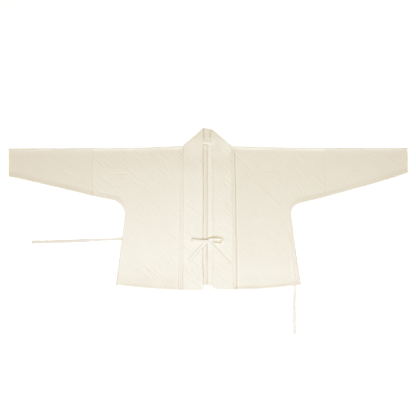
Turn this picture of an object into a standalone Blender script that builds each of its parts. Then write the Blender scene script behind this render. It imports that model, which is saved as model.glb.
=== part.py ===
"""A straight-collared cotton jacket laid flat, front upwards, its fronts held by a bow.

Metres. The jacket lies on z = 0, +Y points to its neck and +X to the right, seen from above.
Each cloth piece starts as its flat cut, which is divided, raised into its folds and turned over
at its fold lines, as a maker would fold it.
"""
import math
from collections import namedtuple

import bmesh
import bpy
from mathutils import Vector

# The cloth, by the thickness of each piece
WALL = 0.0012
BAND_WALL = 0.0016
TAPE_WALL = 0.0010
SEAM_GAP = 0.0003
PLY_GAP = 0.0005

# The levels of the plies, each at the middle of its thickness
TURN = (WALL + PLY_GAP) / 2
BACK_Z = WALL / 2
FRONT_Z = BACK_Z + 2 * TURN
BAND_TURN = 0.0010
BAND_BACK_Z = BAND_WALL / 2
BAND_FRONT_Z = BAND_BACK_Z + 2 * BAND_TURN
ALLOWANCE_TURN = 0.00075

# The body and sleeves
CENTRE_BACK = -0.0047
ALLOWANCE_WIDTH = 0.0090
BACK_HEM = -0.3250
CLOTH_CELL = 0.030
ROLL_STEPS = 4
ARC_STEP = math.radians(11)
SHARP_EDGE = math.radians(40)

# The band's divisions: across it, up to each corner of the neck, round each corner and behind the neck
BAND_STRIPS = 4
CORNER_SHARES = (0.35, 0.7)
CORNER_STEPS = 8
NECK_STEPS = 6
NECK_RISE = 0.0024

# What is raised on the fronts
RIDGE_RISE = 0.0011
RIDGE_SLOPE = 0.0025
RIDGE_FADE = 0.020
TIE_COVER_RISE = 0.0013
TIE_COVER_WIDTH = 0.0090
TIE_COVER_SLOPE = 0.0100

# The tapes
BOW_WIDTH = 0.0125
SIDE_TIE_WIDTH = 0.0120
TAPE_STEP = 0.0090
TAPE_CLEARANCE = 0.0002

COTTON = (0.88, 0.83, 0.72, 1.0)
COTTON_ROUGHNESS = 0.85

Spot = namedtuple("Spot", "name x y round")
Front = namedtuple("Front", "name y seam edge")
Crease = namedtuple("Crease", "name x y heading length width rise")
Bend = namedtuple("Bend", "x y z across lean")
Fold = namedtuple("Fold", "place out radius rise")

# The folded top edge of each half, from the neck to the sleeve seam and on to the cuff
SHOULDER = {
    "left": [
        Spot("neck", -0.1102, 0.2680, 0),
        Spot("sleeve seam", -0.4935, 0.2594, 0),
        Spot("cuff", -0.8500, 0.2559, 0),
    ],
    "right": [
        Spot("neck", 0.1022, 0.2672, 0),
        Spot("sleeve seam", 0.4991, 0.2588, 0),
        Spot("cuff", 0.8485, 0.2576, 0),
    ],
}

# The sewn lower edge of each sleeve, from the cuff to the sleeve seam
SLEEVE_EDGE = {
    "left": [
        Spot("cuff", -0.8500, 0.1377, 0),
        Spot("cuff hem", -0.8248, 0.1347, 0.10),
        Spot("elbow", -0.5789, 0.0749, 0.40),
        Spot("sleeve seam", -0.4935, 0.0532, 0),
    ],
    "right": [
        Spot("cuff", 0.8500, 0.1518, 0),
        Spot("forearm", 0.7121, 0.1095, 0.60),
        Spot("elbow", 0.5921, 0.0762, 0.40),
        Spot("sleeve seam", 0.4991, 0.0500, 0),
    ],
}

# The underarm and side seam of each half, from the sleeve seam to the corner of the hem
SIDE_EDGE = {
    "left": [
        Spot("sleeve seam", -0.4935, 0.0532, 0),
        Spot("armpit", -0.3505, 0.0250, 0.066),
        Spot("waist", -0.3700, -0.1287, 0.60),
        Spot("hem corner", -0.3945, -0.3217, 0),
    ],
    "right": [
        Spot("sleeve seam", 0.4991, 0.0500, 0),
        Spot("armpit", 0.3470, 0.0140, 0.048),
        Spot("waist", 0.3663, -0.1407, 0.60),
        Spot("hem corner", 0.3932, -0.3204, 0),
    ],
}

# The front hem of each half, from its corner to the collar seam
FRONT_HEM = {
    "left": [
        Spot("quarter", -0.3155, -0.3294, 0.50),
        Spot("half", -0.2135, -0.3383, 0.50),
        Spot("collar seam", -0.1092, -0.3443, 0),
    ],
    "right": [
        Spot("quarter", 0.3168, -0.3294, 0.50),
        Spot("half", 0.2147, -0.3383, 0.50),
        Spot("collar seam", 0.1062, -0.3430, 0),
    ],
}

# The band down each front: its seam to the body, and its free edge
BAND = {
    "left": [
        Front("neck", 0.2080, -0.1065, -0.0248),
        Front("breast", 0.0374, -0.1075, -0.0231),
        Front("bow", -0.1334, -0.1084, -0.0260),
        Front("tails", -0.2273, -0.1087, -0.0265),
        Front("above hem", -0.3084, -0.1089, -0.0213),
        Front("hem", -0.3443, -0.1089, -0.0205),
    ],
    "right": [
        Front("neck", 0.2080, 0.0975, 0.0146),
        Front("breast", 0.0374, 0.1010, 0.0163),
        Front("bow", -0.1334, 0.1040, 0.0180),
        Front("tails", -0.2273, 0.1050, 0.0166),
        Front("above hem", -0.3084, 0.1057, 0.0140),
        Front("hem", -0.3420, 0.1059, 0.0158),
    ],
}

# Where the band folds over at each corner of the neck, from its seam up to its free edge
NECK_CORNER = {
    "left": [Vector((-0.1085, 0.2685)), Vector((-0.0230, 0.3443))],
    "right": [Vector((0.0995, 0.2675)), Vector((0.0149, 0.3379))],
}

# Each collar seam's pressed and stitched allowance: its width at the neck and at the hem
RIDGE_WIDTH = {
    "left": (0.0180, 0.0226),
    "right": (0.0137, 0.0180),
}

# The largest creases of the upper ply
CREASES = {
    "left": [
        Crease("wrist, upper", -0.775, 0.200, 60, 0.070, 0.026, 0.0008),
        Crease("wrist, lower", -0.708, 0.160, 40, 0.090, 0.028, 0.0008),
        Crease("forearm", -0.600, 0.165, -30, 0.120, 0.040, 0.0006),
        Crease("armpit, pressed", -0.372, 0.150, 1, 0.100, 0.014, 0.0006),
        Crease("armpit, drawn", -0.325, -0.008, 14, 0.060, 0.018, 0.0006),
        Crease("breast", -0.240, 0.110, -42, 0.190, 0.036, 0.0007),
        Crease("side", -0.270, -0.090, -50, 0.180, 0.034, 0.0007),
        Crease("above hem", -0.200, -0.230, -44, 0.150, 0.038, 0.0006),
    ],
    "right": [
        Crease("wrist", 0.770, 0.200, -40, 0.090, 0.032, 0.0007),
        Crease("forearm, pressed", 0.625, 0.167, 0, 0.060, 0.014, 0.0006),
        Crease("shoulder, pressed", 0.255, 0.162, 0, 0.180, 0.016, 0.0006),
        Crease("armpit, drawn", 0.330, 0.020, -20, 0.080, 0.020, 0.0006),
        Crease("breast", 0.220, 0.080, -38, 0.190, 0.036, 0.0007),
        Crease("side", 0.280, -0.110, -46, 0.170, 0.034, 0.0007),
        Crease("above hem", 0.190, -0.235, -40, 0.150, 0.038, 0.0006),
    ],
}

# The tapes' routes. across is the heading of the tape's width, lean its rise from level, in degrees
TIE_SIDE = [
    Bend(-0.3704, -0.1287, 0.0014, 83, 0),
    Bend(-0.3770, -0.1289, 0.0012, 87, 2),
    Bend(-0.3860, -0.1294, 0.0018, 91, 12),
    Bend(-0.4010, -0.1302, 0.0046, 92, 42),
    Bend(-0.4340, -0.1322, 0.0053, 92, 52),
    Bend(-0.4660, -0.1337, 0.0053, 93, 52),
    Bend(-0.4880, -0.1346, 0.0044, 93, 40),
    Bend(-0.5060, -0.1353, 0.0016, 92, 12),
    Bend(-0.5220, -0.1360, 0.0006, 92, 0),
    Bend(-0.5576, -0.1373, 0.0006, 92, 0),
    Bend(-0.6173, -0.1394, 0.0006, 91, 0),
    Bend(-0.6856, -0.1412, 0.0006, 91, 0),
    Bend(-0.7540, -0.1428, 0.0006, 91, 0),
]
TIE_INNER_COVERED = [
    Bend(0.3570, -0.1520, 0.0020, 8, 0),
    Bend(0.3600, -0.1800, 0.0020, 6, 0),
    Bend(0.3628, -0.2150, 0.0020, 4, 0),
    Bend(0.3650, -0.2550, 0.0020, 2, 0),
    Bend(0.3660, -0.2900, 0.0020, 1, 0),
    Bend(0.3664, -0.3270, 0.0020, 0, 0),
]
TIE_INNER_FREE = [
    Bend(0.3665, -0.3400, 0.0012, 0, 0),
    Bend(0.3665, -0.3540, 0.0006, 0, 0),
    Bend(0.3660, -0.3900, 0.0006, 0, 0),
    Bend(0.3658, -0.4300, 0.0006, 0, 0),
    Bend(0.3662, -0.4750, 0.0006, 0, 0),
    Bend(0.3668, -0.5340, 0.0006, 0, 0),
]
BOW_TIE_LEFT = [
    Bend(-0.0310, -0.1370, 0.0044, 90, 0),
    Bend(-0.0200, -0.1370, 0.0044, 90, 0),
    Bend(-0.0085, -0.1370, 0.0044, 90, 0),
    Bend(-0.0072, -0.1370, 0.0052, 90, 0),
    Bend(-0.0085, -0.1370, 0.0060, 90, 0),
    Bend(-0.0200, -0.1362, 0.0060, 90, 0),
    Bend(-0.0330, -0.1350, 0.0060, 90, 0),
    Bend(-0.0430, -0.1342, 0.0047, 90, 0),
    Bend(-0.0580, -0.1336, 0.0044, 90, 0),
    Bend(-0.0700, -0.1336, 0.0044, 90, 0),
    Bend(-0.0738, -0.1338, 0.0058, 90, 0),
    Bend(-0.0710, -0.1343, 0.0074, 90, 0),
    Bend(-0.0580, -0.1358, 0.0080, 90, 5),
    Bend(-0.0400, -0.1378, 0.0080, 90, 8),
    Bend(-0.0240, -0.1390, 0.0085, 90, 4),
    Bend(-0.0120, -0.1396, 0.0089, 88, 0),
    Bend(-0.0020, -0.1418, 0.0089, 74, 0),
    Bend(0.0070, -0.1480, 0.0084, 56, 0),
    Bend(0.0150, -0.1568, 0.0066, 48, 0),
    Bend(0.0250, -0.1668, 0.0048, 45, 0),
    Bend(0.0480, -0.1905, 0.0044, 45, 0),
    Bend(0.0700, -0.2125, 0.0044, 44, 0),
    Bend(0.0912, -0.2335, 0.0044, 43, 0),
]
BOW_TIE_RIGHT = [
    Bend(0.0210, -0.1370, 0.0044, 90, 0),
    Bend(0.0120, -0.1370, 0.0044, 90, 0),
    Bend(0.0010, -0.1370, 0.0044, 90, 0),
    Bend(-0.0003, -0.1371, 0.0052, 90, 0),
    Bend(0.0010, -0.1375, 0.0060, 90, 0),
    Bend(0.0080, -0.1395, 0.0066, 90, 12),
    Bend(0.0165, -0.1435, 0.0086, 90, 42),
    Bend(0.0280, -0.1470, 0.0098, 90, 62),
    Bend(0.0420, -0.1480, 0.0101, 90, 72),
    Bend(0.0515, -0.1450, 0.0102, 90, 84),
    Bend(0.0552, -0.1385, 0.0102, 90, 88),
    Bend(0.0515, -0.1320, 0.0102, 90, 84),
    Bend(0.0420, -0.1285, 0.0101, 90, 74),
    Bend(0.0280, -0.1280, 0.0100, 90, 62),
    Bend(0.0150, -0.1300, 0.0104, 90, 40),
    Bend(0.0050, -0.1335, 0.0083, 92, 8),
    Bend(-0.0030, -0.1370, 0.0075, 98, 0),
    Bend(-0.0085, -0.1410, 0.0074, 118, 0),
    Bend(-0.0140, -0.1464, 0.0074, 134, 0),
    Bend(-0.0200, -0.1526, 0.0066, 136, 0),
    Bend(-0.0290, -0.1620, 0.0047, 136, 0),
    Bend(-0.0560, -0.1900, 0.0044, 136, 0),
    Bend(-0.0846, -0.2230, 0.0044, 137, 0),
]


def clear_scene():
    for thing in list(bpy.data.objects):
        bpy.data.objects.remove(thing)


def cotton(name):
    material = bpy.data.materials.new(name)
    material.use_nodes = True
    shader = material.node_tree.nodes["Principled BSDF"]
    shader.inputs["Base Color"].default_value = COTTON
    shader.inputs["Roughness"].default_value = COTTON_ROUGHNESS
    shader.inputs["Metallic"].default_value = 0.0
    return material


def add_piece(name, cloth, wall, jacket):
    """Makes a named object of a surface at the middle of its cloth, and gives it its thickness."""
    mesh = bpy.data.meshes.new(name)
    cloth.to_mesh(mesh)
    cloth.free()
    mesh.shade_smooth()
    mesh.set_sharp_from_angle(angle=SHARP_EDGE)
    piece = bpy.data.objects.new(name, mesh)
    mesh.materials.append(cotton(name + "_cotton"))
    thickness = piece.modifiers.new("thickness", "SOLIDIFY")
    thickness.thickness = wall
    thickness.offset = 0
    jacket.objects.link(piece)
    return piece


def eased(value):
    value = min(max(value, 0.0), 1.0)
    return value * value * (3 - 2 * value)


def flat(spot):
    return Vector((spot.x, spot.y))


def rounded(spots):
    """A line through the spots, with an arc of each spot's own radius at its corner."""
    points = []
    for number, spot in enumerate(spots):
        corner = flat(spot)
        if not spot.round or number in (0, len(spots) - 1):
            points.append(corner)
            continue
        before = (flat(spots[number - 1]) - corner).normalized()
        after = (flat(spots[number + 1]) - corner).normalized()
        half = before.angle(after) / 2
        reach = spot.round / math.tan(half)
        middle = corner + (before + after).normalized() * (spot.round / math.sin(half))
        start = corner + before * reach - middle
        swept = start.angle_signed(corner + after * reach - middle)
        steps = max(1, math.ceil(abs(swept) / ARC_STEP))
        for step in range(steps + 1):
            turn = -swept * step / steps
            points.append(middle + Vector((
                start.x * math.cos(turn) - start.y * math.sin(turn),
                start.x * math.sin(turn) + start.y * math.cos(turn))))
    return points


def shoulder_fold(start, end):
    """The fold along a top edge. Its roll stands out to the edge itself."""
    along = (end - start).normalized()
    out = Vector((-along.y, along.x))
    if out.y < 0:
        out.negate()
    return Fold(start - out * (TURN + WALL / 2), out, TURN, -1)


def past(place, fold):
    return (place - fold.place).dot(fold.out)


def opened(place, fold):
    """Where a point of the turned part lies while the cut is still open."""
    return place - fold.out * (2 * past(place, fold) - math.pi * fold.radius)


def turned(point, fold):
    """Rolls a point that is past the fold line over the fold, along the length of the cloth."""
    reach = past(point.xy, fold)
    if reach <= 0:
        return point
    angle = min(reach / fold.radius, math.pi)
    beyond = reach - angle * fold.radius
    shift = fold.radius * math.sin(angle) - beyond - reach
    rise = fold.rise * fold.radius * (1 - math.cos(angle))
    return Vector((point.x + fold.out.x * shift, point.y + fold.out.y * shift, point.z + rise))


def roll_lines(fold):
    """The lines that divide a fold's roll into its steps, on the open cut."""
    along = Vector((-fold.out.y, fold.out.x))
    lines = []
    for step in range(ROLL_STEPS + 1):
        start = fold.place + fold.out * (math.pi * fold.radius * step / ROLL_STEPS)
        lines.append((start, start + along))
    return lines


def grid_lines(points, cell):
    """Evenly spaced lines both ways across a cut."""
    lines = []
    low = Vector((min(p.x for p in points), min(p.y for p in points)))
    high = Vector((max(p.x for p in points), max(p.y for p in points)))
    for axis, along in ((0, Vector((0, 1))), (1, Vector((1, 0)))):
        count = round((high[axis] - low[axis]) / cell)
        for number in range(1, count):
            start = low.copy()
            start[axis] += (high[axis] - low[axis]) * number / count
            lines.append((start, start + along))
    return lines


def cut_cloth(outline, lines):
    """A flat piece of cloth of the outline, divided along the lines."""
    cloth = bmesh.new()
    cloth.faces.new([cloth.verts.new((place.x, place.y, 0)) for place in outline])
    for start, end in lines:
        across = Vector((end.y - start.y, start.x - end.x, 0))
        every = cloth.verts[:] + cloth.edges[:] + cloth.faces[:]
        bmesh.ops.bisect_plane(
            cloth, geom=every, dist=1e-6, plane_co=(start.x, start.y, 0), plane_no=across.normalized())
    bmesh.ops.triangulate(cloth, faces=[face for face in cloth.faces if len(face.verts) > 4])
    return cloth


def seam_at(side, y):
    """The collar seam's x at a height, between the rows of the band's table."""
    rows = BAND[side]
    if y >= rows[0].y:
        neck = SHOULDER[side][0]
        share = eased((y - rows[0].y) / (neck.y - rows[0].y))
        return rows[0].seam + (neck.x - rows[0].seam) * share
    for upper, lower in zip(rows, rows[1:]):
        if y >= lower.y:
            return upper.seam + (lower.seam - upper.seam) * (y - upper.y) / (lower.y - upper.y)
    return rows[-1].seam


def ridge_rise(side, place):
    """The collar seam's allowance under the front, which lifts a strip beside the seam."""
    neck, hem = RIDGE_WIDTH[side]
    top, bottom = BAND[side][0].y, BAND[side][-1].y
    width = neck + (hem - neck) * (top - place.y) / (top - bottom)
    aside = abs(place.x - seam_at(side, place.y))
    fade = eased((SHOULDER[side][0].y - place.y) / RIDGE_FADE)
    return RIDGE_RISE * fade * eased((width - aside) / RIDGE_SLOPE)


def tie_middle(y):
    """The inner tie's x at a height, inside the jacket."""
    for upper, lower in zip(TIE_INNER_COVERED, TIE_INNER_COVERED[1:]):
        if y >= lower.y:
            return upper.x + (lower.x - upper.x) * (y - upper.y) / (lower.y - upper.y)
    return TIE_INNER_COVERED[-1].x


def tie_rise(place):
    """The lift of the right front over the inner tie."""
    top = TIE_INNER_COVERED[0].y
    aside = abs(place.x - tie_middle(min(place.y, top)))
    above = eased((top + 2 * TIE_COVER_SLOPE - place.y) / TIE_COVER_SLOPE)
    return TIE_COVER_RISE * above * eased((TIE_COVER_WIDTH + TIE_COVER_SLOPE - aside) / TIE_COVER_SLOPE)


def crease_rise(side, place):
    """The large creases, each a soft ridge that dies away at both ends."""
    rise = 0.0
    for crease in CREASES[side]:
        heading = math.radians(crease.heading)
        offset = place - flat(crease)
        along = offset.x * math.cos(heading) + offset.y * math.sin(heading)
        aside = offset.y * math.cos(heading) - offset.x * math.sin(heading)
        ends = eased(1 - abs(2 * along / crease.length))
        rise += crease.rise * ends * eased(1 - abs(2 * aside / crease.width))
    return rise


def ridge_lines(side):
    """Lines along the foot and the crest of the ridge beside the collar seam."""
    lines = []
    neck, hem = RIDGE_WIDTH[side]
    outward = -1 if side == "left" else 1
    top, bottom = BAND[side][0], BAND[side][-1]
    for inset in (0.0, RIDGE_SLOPE / 2, RIDGE_SLOPE):
        start = Vector((top.seam + outward * (neck - inset), top.y))
        end = Vector((bottom.seam + outward * (hem - inset), bottom.y))
        lines.append((start, end))
    return lines


def tie_lines():
    """Lines along both sides of the lift over the inner tie."""
    upper, lower = TIE_INNER_COVERED[0], TIE_INNER_COVERED[-1]
    lines = []
    for share in (0, 0.5, 1):
        aside = TIE_COVER_WIDTH + share * TIE_COVER_SLOPE
        for sign in (-1, 1):
            start = Vector((upper.x + sign * aside, upper.y))
            lines.append((start, Vector((lower.x + sign * aside, lower.y))))
    return lines


def front_rise(side, place):
    rise = crease_rise(side, place) + ridge_rise(side, place)
    return rise + (tie_rise(place) if side == "right" else 0.0)


def folded_piece(name, side, fold, front, back, lines, jacket, second_fold=None):
    """One cut with its front and its back, folded along its top so that the back lies below."""
    outline = front + [opened(place, fold) for place in back]
    cloth = cut_cloth(outline, lines + roll_lines(fold) + grid_lines(outline, CLOTH_CELL))
    for vert in cloth.verts:
        place = vert.co.xy
        on_front = past(place, fold) < 0
        level = FRONT_Z + (front_rise(side, place) if on_front else 0.0)
        point = turned(Vector((place.x, place.y, level)), fold)
        if second_fold and not on_front:
            point = turned(point, second_fold)
        vert.co = point
    return add_piece(name, cloth, WALL, jacket)


def make_body(side, jacket):
    """One half of the body. Its front ends at the collar seam, and its back at the centre back."""
    outward = -1 if side == "left" else 1
    neck, seam = SHOULDER[side][0], SHOULDER[side][1]
    fold = shoulder_fold(flat(neck), flat(seam))
    lift = fold.place - flat(neck)
    edge = rounded(SIDE_EDGE[side])
    edge[0].x -= outward * SEAM_GAP / 2
    sleeve_top = flat(seam) + lift - Vector((outward * SEAM_GAP / 2, 0))

    front = [flat(neck) + lift]
    for row in BAND[side]:
        front.append(Vector((row.seam + outward * SEAM_GAP, row.y)))
    front[-1] = flat(FRONT_HEM[side][-1])
    hem = rounded([SIDE_EDGE[side][-1]] + FRONT_HEM[side])
    front += hem[-2::-1] + edge[-2::-1] + [sleeve_top]

    centre = CENTRE_BACK + (SEAM_GAP if side == "right" else 0.0)
    neckline = fold.place.y + (neck.x - centre) * fold.out.x / fold.out.y - SEAM_GAP
    lines = ridge_lines(side)
    if side == "left":
        start = Vector((centre - ALLOWANCE_TURN - WALL / 2, 0))
        turn = Fold(start, Vector((1, 0)), ALLOWANCE_TURN, 1)
        centre = start.x + math.pi * ALLOWANCE_TURN + ALLOWANCE_WIDTH
        top = Vector((turn.place.x, neckline))
        bottom = Vector((turn.place.x, BACK_HEM))
        for step in range(ROLL_STEPS + 1):
            shift = Vector((math.pi * ALLOWANCE_TURN * step / ROLL_STEPS, 0))
            lines.append((opened(top + shift, fold), opened(bottom + shift, fold)))
    else:
        turn = None
        lines += tie_lines()
    back = [sleeve_top] + edge
    back += [Vector((centre, BACK_HEM)), Vector((centre, neckline)), flat(neck) + lift]
    back[-1].y -= SEAM_GAP
    return folded_piece("body_" + side, side, fold, front, back, lines, jacket, turn)


def make_sleeve(side, jacket):
    """The sleeve from its seam on the upper arm to the cuff."""
    outward = -1 if side == "left" else 1
    seam, cuff = SHOULDER[side][1], SHOULDER[side][2]
    fold = shoulder_fold(flat(seam), flat(cuff))
    lift = fold.place - flat(seam)
    edge = rounded(SLEEVE_EDGE[side])
    edge[-1] = edge[-1] + Vector((outward * SEAM_GAP / 2, 0))
    seam_top = flat(seam) + lift + Vector((outward * SEAM_GAP / 2, 0))
    cuff_top = flat(cuff) + lift
    front = [seam_top] + edge[::-1] + [cuff_top]
    back = [cuff_top] + edge + [seam_top]
    return folded_piece("sleeve_" + side, side, fold, front, back, [], jacket)


def lofted(name, rows, wall, jacket):
    """A surface through rows of points, each row right across the cloth."""
    cloth = bmesh.new()
    verts = [[cloth.verts.new(point) for point in row] for row in rows]
    for upper, lower in zip(verts, verts[1:]):
        for number in range(len(upper) - 1):
            cloth.faces.new((upper[number], upper[number + 1], lower[number + 1], lower[number]))
    return add_piece(name, cloth, wall, jacket)


def across_band(seam, edge, z):
    """A row across the band from its seam to its free edge."""
    row = []
    for number in range(BAND_STRIPS + 1):
        place = seam.lerp(edge, number / BAND_STRIPS)
        row.append(Vector((place.x, place.y, z)))
    return row


def leg_rows(side, corner):
    """The band up one front, from the hem to where it starts to turn at the neck."""
    rows = []
    table = BAND[side][::-1]
    seam_drop = FRONT_HEM[side][-1].y - table[0].y
    for number, lower in enumerate(table):
        drop = seam_drop if number == 0 else 0.0
        seam, edge = Vector((lower.seam, lower.y + drop)), Vector((lower.edge, lower.y))
        rows.append(across_band(seam, edge, BAND_FRONT_Z))
        if number + 1 < len(table):
            upper = table[number + 1]
            middle_seam = seam.lerp(Vector((upper.seam, upper.y)), 0.5)
            middle_edge = edge.lerp(Vector((upper.edge, upper.y)), 0.5)
            rows.append(across_band(middle_seam, middle_edge, BAND_FRONT_Z))
    last = table[-1]
    for share in CORNER_SHARES:
        seam = Vector((last.seam, last.y)).lerp(corner[0], share)
        edge = Vector((last.edge, last.y)).lerp(corner[1], share)
        rows.append(across_band(seam, edge, BAND_FRONT_Z))
    return rows


def corner_rows(side):
    """The band's roll over its fold at one corner of the neck, from the front down to the back."""
    seam, edge = NECK_CORNER[side]
    along = (edge - seam).normalized()
    out = Vector((-along.y, along.x))
    if out.y < 0:
        out.negate()
    inset = out * (BAND_TURN + BAND_WALL / 2)
    corner = (seam - inset, edge - inset)
    rows = []
    for step in range(CORNER_STEPS + 1):
        angle = math.pi * step / CORNER_STEPS
        shift = out * (BAND_TURN * math.sin(angle))
        level = BAND_BACK_Z + BAND_TURN * (1 + math.cos(angle))
        rows.append(across_band(corner[0] + shift, corner[1] + shift, level))
    return corner, rows


def make_collar(jacket):
    """The band, up the left front, round the back of the neck and down the right front."""
    left_corner, left_roll = corner_rows("left")
    right_corner, right_roll = corner_rows("right")
    rows = leg_rows("left", left_corner) + left_roll
    for step in range(1, NECK_STEPS):
        share = step / NECK_STEPS
        seam = left_corner[0].lerp(right_corner[0], share)
        seam.y += NECK_RISE * math.sin(math.pi * share)
        edge = left_corner[1].lerp(right_corner[1], share)
        rows.append(across_band(seam, edge, BAND_BACK_Z))
    rows += right_roll[::-1] + leg_rows("right", right_corner)[::-1]
    return lofted("collar_band", rows, BAND_WALL, jacket)


def smooth_route(bends):
    """Points along a smooth curve through the bends, about a tape step apart."""
    route = []
    for number in range(len(bends) - 1):
        before = bends[max(number - 1, 0)]
        start, end = bends[number], bends[number + 1]
        after = bends[min(number + 2, len(bends) - 1)]
        length = math.dist(start[:3], end[:3])
        steps = max(2, round(length / TAPE_STEP))
        for step in range(steps):
            t = step / steps
            weights = (
                (-t + 2 * t**2 - t**3) / 2,
                (2 - 5 * t**2 + 3 * t**3) / 2,
                (t + 4 * t**2 - 3 * t**3) / 2,
                (-t**2 + t**3) / 2)
            columns = zip(before, start, end, after)
            route.append(Bend(*(sum(w * value for w, value in zip(weights, column)) for column in columns)))
    route.append(bends[-1])
    return route


def make_tape(name, bends, width, jacket):
    """A flat tape laid along its route, turned as each bend says."""
    rows = []
    for bend in smooth_route(bends):
        heading, lean = math.radians(bend.across), math.radians(bend.lean)
        level = math.cos(lean)
        across = Vector((math.cos(heading) * level, math.sin(heading) * level, math.sin(lean)))
        middle = Vector(bend[:3])
        middle.z = max(middle.z, across.z * width / 2 + TAPE_WALL / 2 + TAPE_CLEARANCE)
        rows.append([middle - across * width / 2, middle + across * width / 2])
    return lofted(name, rows, TAPE_WALL, jacket)


def main():
    clear_scene()
    jacket = bpy.data.collections.new("hanfu_jacket")
    bpy.context.scene.collection.children.link(jacket)
    for side in ("left", "right"):
        make_body(side, jacket)
        make_sleeve(side, jacket)
    make_collar(jacket)
    make_tape("bow_tie_left", BOW_TIE_LEFT, BOW_WIDTH, jacket)
    make_tape("bow_tie_right", BOW_TIE_RIGHT, BOW_WIDTH, jacket)
    make_tape("tie_side", TIE_SIDE, SIDE_TIE_WIDTH, jacket)
    make_tape("tie_inner", TIE_INNER_COVERED + TIE_INNER_FREE, SIDE_TIE_WIDTH, jacket)


main()
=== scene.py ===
import math
import random
from collections import namedtuple

import bpy
import numpy as np
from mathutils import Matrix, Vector
from mathutils.geometry import delaunay_2d_cdt


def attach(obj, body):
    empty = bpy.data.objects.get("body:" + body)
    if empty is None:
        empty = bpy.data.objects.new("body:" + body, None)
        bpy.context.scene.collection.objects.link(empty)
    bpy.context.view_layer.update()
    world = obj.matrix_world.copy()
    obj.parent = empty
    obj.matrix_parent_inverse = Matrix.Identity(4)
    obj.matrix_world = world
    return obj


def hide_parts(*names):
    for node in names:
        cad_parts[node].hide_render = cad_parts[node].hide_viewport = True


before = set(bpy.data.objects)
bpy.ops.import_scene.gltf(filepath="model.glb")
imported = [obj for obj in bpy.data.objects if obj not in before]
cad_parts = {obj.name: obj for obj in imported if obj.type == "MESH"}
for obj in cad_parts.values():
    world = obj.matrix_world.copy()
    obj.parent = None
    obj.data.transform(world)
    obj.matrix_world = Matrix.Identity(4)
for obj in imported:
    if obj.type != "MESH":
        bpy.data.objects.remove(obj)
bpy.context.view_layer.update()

Spot = namedtuple("Spot", "name x y round")
Front = namedtuple("Front", "name y seam edge")
Crease = namedtuple("Crease", "name x y heading length width rise bow")
Bend = namedtuple("Bend", "x y z across lean shade", defaults=(0.0,))
Tape = namedtuple("Tape", "bends width loop middle lower upper")
Fold = namedtuple("Fold", "place out radius rise")
Zone = namedtuple("Zone", "line insets step")
Lamp = namedtuple("Lamp", "name place aim size power colour")
Shades = namedtuple("Shades", "rim side inset hem zone middle")
SeamShades = namedtuple("SeamShades", "seam middle outer outer_half at_top bead")
Crinkling = namedtuple("Crinkling", "count heights headings lengths widths rises")
BodyTop = namedtuple("BodyTop", "neck sleeve start_x")

# The two halves, and which way each lies from the middle
SIDES = ("left", "right")
OUTWARD = {"left": -1, "right": 1}

# The view, straight down from far above
VIEW_CENTRE = (-0.0026, 0.0032)
VIEW_WIDTH = 1.776
VIEW_HEIGHT = 6.0
SENSOR = 36.0

# The cloth, by thickness
WALL = 0.0007
BAND_WALL = 0.0012
TAPE_WALL = 0.0010
SEAM_GAP = 0.0001

# The levels of the plies, each at the middle of its thickness
FRONT_Z = 0.0029 - WALL / 2
BACK_Z = WALL / 2
PLY_MEETING = (FRONT_Z - BACK_Z - WALL) / 2
TURN = (FRONT_Z - BACK_Z) / 2
BAND_FRONT_Z = 0.0036 - BAND_WALL / 2
BAND_BACK_Z = BAND_WALL / 2
BAND_TURN = (BAND_FRONT_Z - BAND_BACK_Z) / 2

# The centre back and the hem of the back
CENTRE_BACK = -0.0047
ALLOWANCE_TURN = 0.00075
ALLOWANCE_WIDTH = 0.0090
ALLOWANCE_LIFT = 0.0011
BACK_HEM = -0.3262
BACK_HEM_SLANT = 0.0034
HEM_FOLD = 0.0080
CUFF_FOLD = 0.0100
HEM_RISE = 0.0003
HEM_SLOPE = 0.0012

# How finely the cloth is divided
FINE_CELL = 0.0031
COARSE_CELL = 0.0085
BACK_STEP = COARSE_CELL / 2
NOTCH_CELL = 0.0022
NOTCH_HALF = 0.034
STITCH_CELL = 0.0024
ROLL_STEPS = 6
CORNER_STEPS = ROLL_STEPS + 2
ARC_STEP = math.radians(4)
CLOSEST = 0.0002
FAR = 0.08

# How far the extra rows of points lie from each kind of edge
EDGE_INSETS = (0.0002, 0.0006, 0.0012, 0.0021, 0.0034, 0.0052, 0.0075)
SEAM_INSETS = (0.0005, 0.0011, 0.0018)
BACK_INSETS = (0.0006, 0.0021)
HEM_INSETS = (0.0005, 0.0014, 0.0030, 0.0050, 0.0068, 0.0078, 0.0090)
CUFF_INSETS = (0.0005, 0.0014, 0.0040, 0.0070, 0.0094, 0.0106)
BACK_HEM_INSETS = (0.0040, HEM_FOLD - 0.0010, HEM_FOLD + 0.0010)
COLLAR_INSETS = (0.0004, 0.0009, 0.0016)
COLLAR_ROWS_FROM = 0.0026
COLLAR_ROW = 0.0013
BAND_SEAM_INSETS = (0.0, 0.0004, 0.0009, 0.0016, 0.0026, 0.0040)
BAND_EDGE_INSETS = (0.0055, 0.0036, 0.0022, 0.0012, 0.0005, 0.0)

# What the folds and seams do to the cloth beside them
SHOULDER_PUFF = 0.0020
SHOULDER_PUFF_REACH = 0.026
SHOULDER_SAG = {"left": 0.0034, "right": 0.0016}
SHOULDER_SAG_REACH = 0.055
SEAM_PUFF = 0.0018
SEAM_PUFF_REACH = 0.026
EDGE_ROUND = 0.0021
SEAM_DIP = 0.0005
SEAM_DIP_REACH = 0.0018
PUCKER_PITCH = 0.0122

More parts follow.
